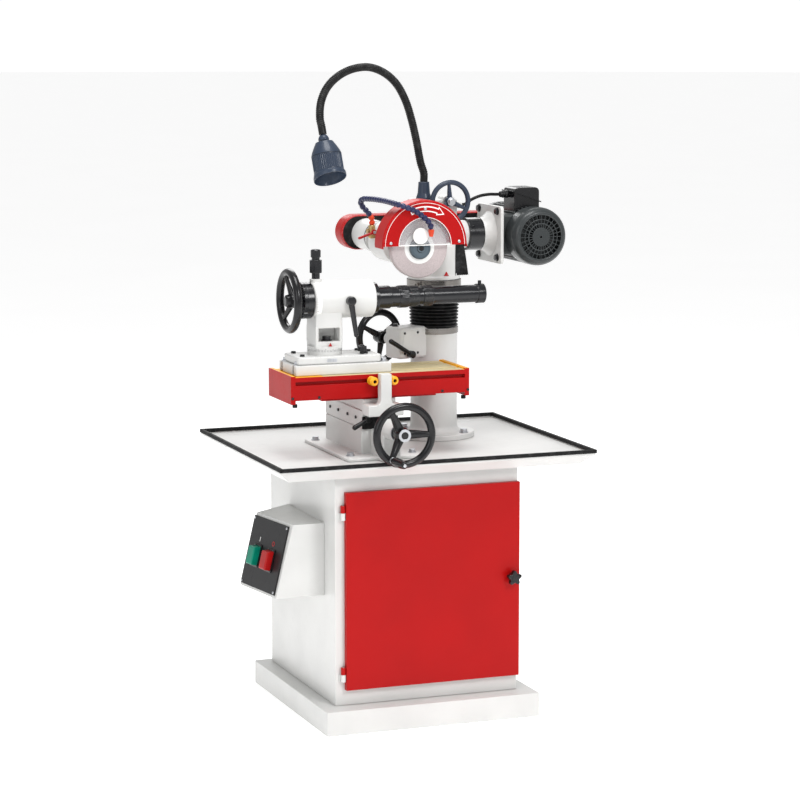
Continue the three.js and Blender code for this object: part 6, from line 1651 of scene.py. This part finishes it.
class GRINDER_OT_lamp(PieceOperator, bpy.types.Operator):
    """Build the lamp's base, gooseneck and shade"""

    bl_idname = "grinder.lamp"
    bl_label = "Lamp"

    def build(self):
        base = lathe(
            [(0, 1265.3), (20, 1265.3), (20, 1269.3), (16, 1281), (14, 1306), (14, 1310.3), (0, 1310.3)],
            (129, 125, 0), "z", 2,
        )
        make("lamp_foot", base, "slate", "lamp_base")
        top, aim = np.array([-183.4, 7.2, 1441.5]), np.array([-176.0, -26, 1334])
        down = unit(aim - top)
        start, end = np.array([129.0, 125, 1310.6]), top + down * 0.6
        lead = 20.8
        bends = [
            (120, 124, 1358), (108, 122, 1412), (94, 119, 1465), (75, 115, 1517), (48, 108, 1559),
            (12, 98, 1587), (-34, 84, 1602), (-85, 68, 1598), (-129, 53, 1580), (-162, 38, 1553),
            (-182, 25, 1518), (-188, 15, 1480),
        ]
        line = curve_through([start, start + Z * lead, *bends, end - down * lead, end], 1601)
        run = distances(line)
        pitch = sizes().neck_pitch / MM
        ribs = round(run[-1] / pitch)
        wave = np.abs(np.sin(np.pi * ribs * run / run[-1])) ** 0.6
        near = np.minimum(run, run[-1] - run) < 16
        radii = np.where(near, 9.8, 8.7 + 1.5 * wave)
        make("ribbed_gooseneck", tube(line, radii, 28), "soft_rubber", "gooseneck")
        rows = across(down)
        make("lamp_hood", lamp_hood(rows).put(top, rows), "slate", "lamp_shade")
        bulb = lathe([
            (0, 37), (11, 37), (12, 46), (20, 68), (22, 82), (18, 89), (8, 92.6), (0, 93),
        ], edge=7, steps=5)
        detail("lamp_bulb", bulb.put(top, rows), "bulb", "lamp_shade")
        seam = ring(36.2, 37.7, 52.6, 53.6, edge=0.2).put(top, rows)
        detail("lamp_seam", seam, "rubber", "lamp_shade", "black_rubber")


def lamp_hood(rows):
    """The hood about its own axis: a profile of (radius r, distance d) turned through angle a. The
    fluted band's radius loses depth * (1 - cos(flutes a)) / 2. Below the band d loses
    share * slope * r cos(a - front), which cuts the mouth on a slant, higher on the operator's side;
    share rises smoothly from 0 to 1."""
    outside = [
        (0, 0.3), (5, 0.9), (9.6, 3.8), (12.6, 8.4), (13.7, 13.8), (12.9, 17), (11.8, 18), (13, 19.4),
        (21.4, 19.7), (30, 34.7), (34.9, 44.6), (37.5, 52.5), (37.5, 93.5), (38.3, 98), (41, 104.3),
        (41, 113),
    ]
    inside = [
        (39.4, 113), (39.2, 104.6), (36.4, 97.5), (35.5, 93), (35.5, 55), (32.8, 46), (28.6, 37.4),
        (0, 37.4),
    ]
    edge = [1, 2, 2, 2, 2, 1, 0.6, 0.4, 1.5, 4, 3, 2, 3, 3, 3, 0.8, 0.8, 3, 3, 3, 3, 3, 3, 1]
    flutes, depth, low, high = 48, 1.5, 55, 92
    p, bow = softened(outside + inside, edge, 4, closed=False)
    p, bow = with_levels(p, bow, (low, low + 0.8, high - 0.8, high))
    mouth = int(np.flatnonzero(p[:, 1] > 112.9)[0])
    a = full_turn(8 * flutes)[None]
    r, d = p[:, :1], p[:, 1:]
    held = (d >= low + 0.7) & (d <= high - 0.7) & (np.arange(len(p))[:, None] < mouth)
    r = r - held * depth * (1 - np.cos(flutes * a)) / 2
    front = math.atan2(-rows[1] @ Y, -rows[0] @ Y)
    share = np.clip((d - 93.5) / 10.8, 0, 1)
    share = share * share * (3 - 2 * share)
    d = d - share * math.tan(math.radians(12)) * r * np.cos(a - front)
    points = np.stack([r * np.cos(a), r * np.sin(a), d], -1)
    return skin(points, rim=np.repeat(bow[:, None], a.size, 1))


class GRINDER_OT_stage(PieceOperator, bpy.types.Operator):
    """Build the floor, the lights and the camera"""

    bl_idname = "grinder.stage"
    bl_label = "Stage"

    def build(self):
        scene = bpy.context.scene
        mesh = bpy.data.meshes.new("floor")
        sides, reach, drop = 64, 60, 0.0004
        points = np.c_[circle(sides, reach), np.full(sides, -drop)]
        mesh.from_pydata(points, [], [list(range(sides))])
        s = Sheet("pale_floor")
        cloud = s.noise(1.2, 3).between(0.3, 0.7)
        s.set(
            base_color=s.mix((0.955,) * 3, (0.97,) * 3, cloud),
            roughness=0.9,
            specular_ior_level=0.1,
            emission_color=(1, 1, 1),
            emission_strength=0.42,
        )
        mesh.materials.append(s.material)
        floor = bpy.data.objects.new("floor", mesh)
        scene.collection.objects.link(floor)
        world = bpy.data.worlds.new("studio")
        world.use_nodes = True
        sky = world.node_tree.nodes["Background"]
        sky.inputs[0].default_value = (1, 1, 1, 1)
        tree = world.node_tree
        seen = tree.nodes.new("ShaderNodeLightPath").outputs["Is Camera Ray"]
        strength = tree.nodes.new("ShaderNodeMapRange")
        for key, value in (("To Min", 0.55), ("To Max", 1.03)):
            strength.inputs[key].default_value = value
        tree.links.new(seen, strength.inputs["Value"])
        tree.links.new(strength.outputs[0], sky.inputs[1])
        scene.world = world
        scene.view_settings.view_transform = "Standard"
        aim = Vector((0, 0, 0.8))
        for name, at, size, watts in (
            ("key", (1.4, -4.8, 4.0), 1.6, 130),
            ("fill", (-4.0, -3.0, 2.6), 2.6, 45),
            ("back", (1.0, 4.0, 3.6), 2.4, 70),
            ("top", (-0.2, -0.6, 4.4), 1.8, 100),
        ):
            light = bpy.data.lights.new(name, "AREA")
            light.size, light.energy = size, watts
            lamp = bpy.data.objects.new(name, light)
            lamp.location = at
            lamp.rotation_euler = (aim - Vector(at)).to_track_quat("-Z", "Y").to_euler()
            scene.collection.objects.link(lamp)
        data = bpy.data.cameras.new("camera")
        data.lens, data.sensor_width = 123.18, 36
        data.clip_start, data.clip_end = 0.1, 200
        camera = bpy.data.objects.new("camera", data)
        camera.location = (-2.39843, -6.3784, 1.77482)
        turn, fall = math.radians(20.74), math.radians(8.37)
        look = Vector((math.sin(turn) * math.cos(fall), math.cos(turn) * math.cos(fall), -math.sin(fall)))
        camera.rotation_euler = look.to_track_quat("-Z", "Y").to_euler()
        scene.collection.objects.link(camera)
        scene.camera = camera


OPERATORS = (
    GRINDER_OT_stage, GRINDER_OT_motor, GRINDER_OT_stand, GRINDER_OT_door, GRINDER_OT_console,
    GRINDER_OT_tray, GRINDER_OT_cross_slide, GRINDER_OT_table, GRINDER_OT_cross_wheel,
    GRINDER_OT_attachment, GRINDER_OT_arbor, GRINDER_OT_column, GRINDER_OT_lift, GRINDER_OT_head,
    GRINDER_OT_spindle, GRINDER_OT_guard, GRINDER_OT_drive, GRINDER_OT_coolant, GRINDER_OT_lamp,
)


class GRINDER_PT_sidebar(bpy.types.Panel):
    """Lists the machine's pieces in the sidebar"""

    bl_label = "Grinder"
    bl_idname = "GRINDER_PT_sidebar"
    bl_space_type = "VIEW_3D"
    bl_region_type = "UI"
    bl_category = "Grinder"

    def draw(self, context):
        column = self.layout.column()
        for operator in OPERATORS:
            column.operator(operator.bl_idname)
        for group in (context.scene.grinder_colours, context.scene.grinder_sizes):
            for key in group.bl_rna.properties.keys():
                if key not in ("rna_type", "name"):
                    column.prop(group, key)


CLASSES = (GrinderColours, GrinderSizes, *OPERATORS, GRINDER_PT_sidebar)


def register():
    for cls in CLASSES:
        bpy.utils.register_class(cls)
    bpy.types.Scene.grinder_colours = bpy.props.PointerProperty(type=GrinderColours)
    bpy.types.Scene.grinder_sizes = bpy.props.PointerProperty(type=GrinderSizes)


def unregister():
    del bpy.types.Scene.grinder_colours
    del bpy.types.Scene.grinder_sizes
    for cls in reversed(CLASSES):
        bpy.utils.unregister_class(cls)


def main():
    """Builds every piece in order."""
    register()
    for operator in OPERATORS:
        group, name = operator.bl_idname.split(".")
        getattr(getattr(bpy.ops, group), name)()
    bpy.context.view_layer.update()


if __name__ == "__main__":
    main()
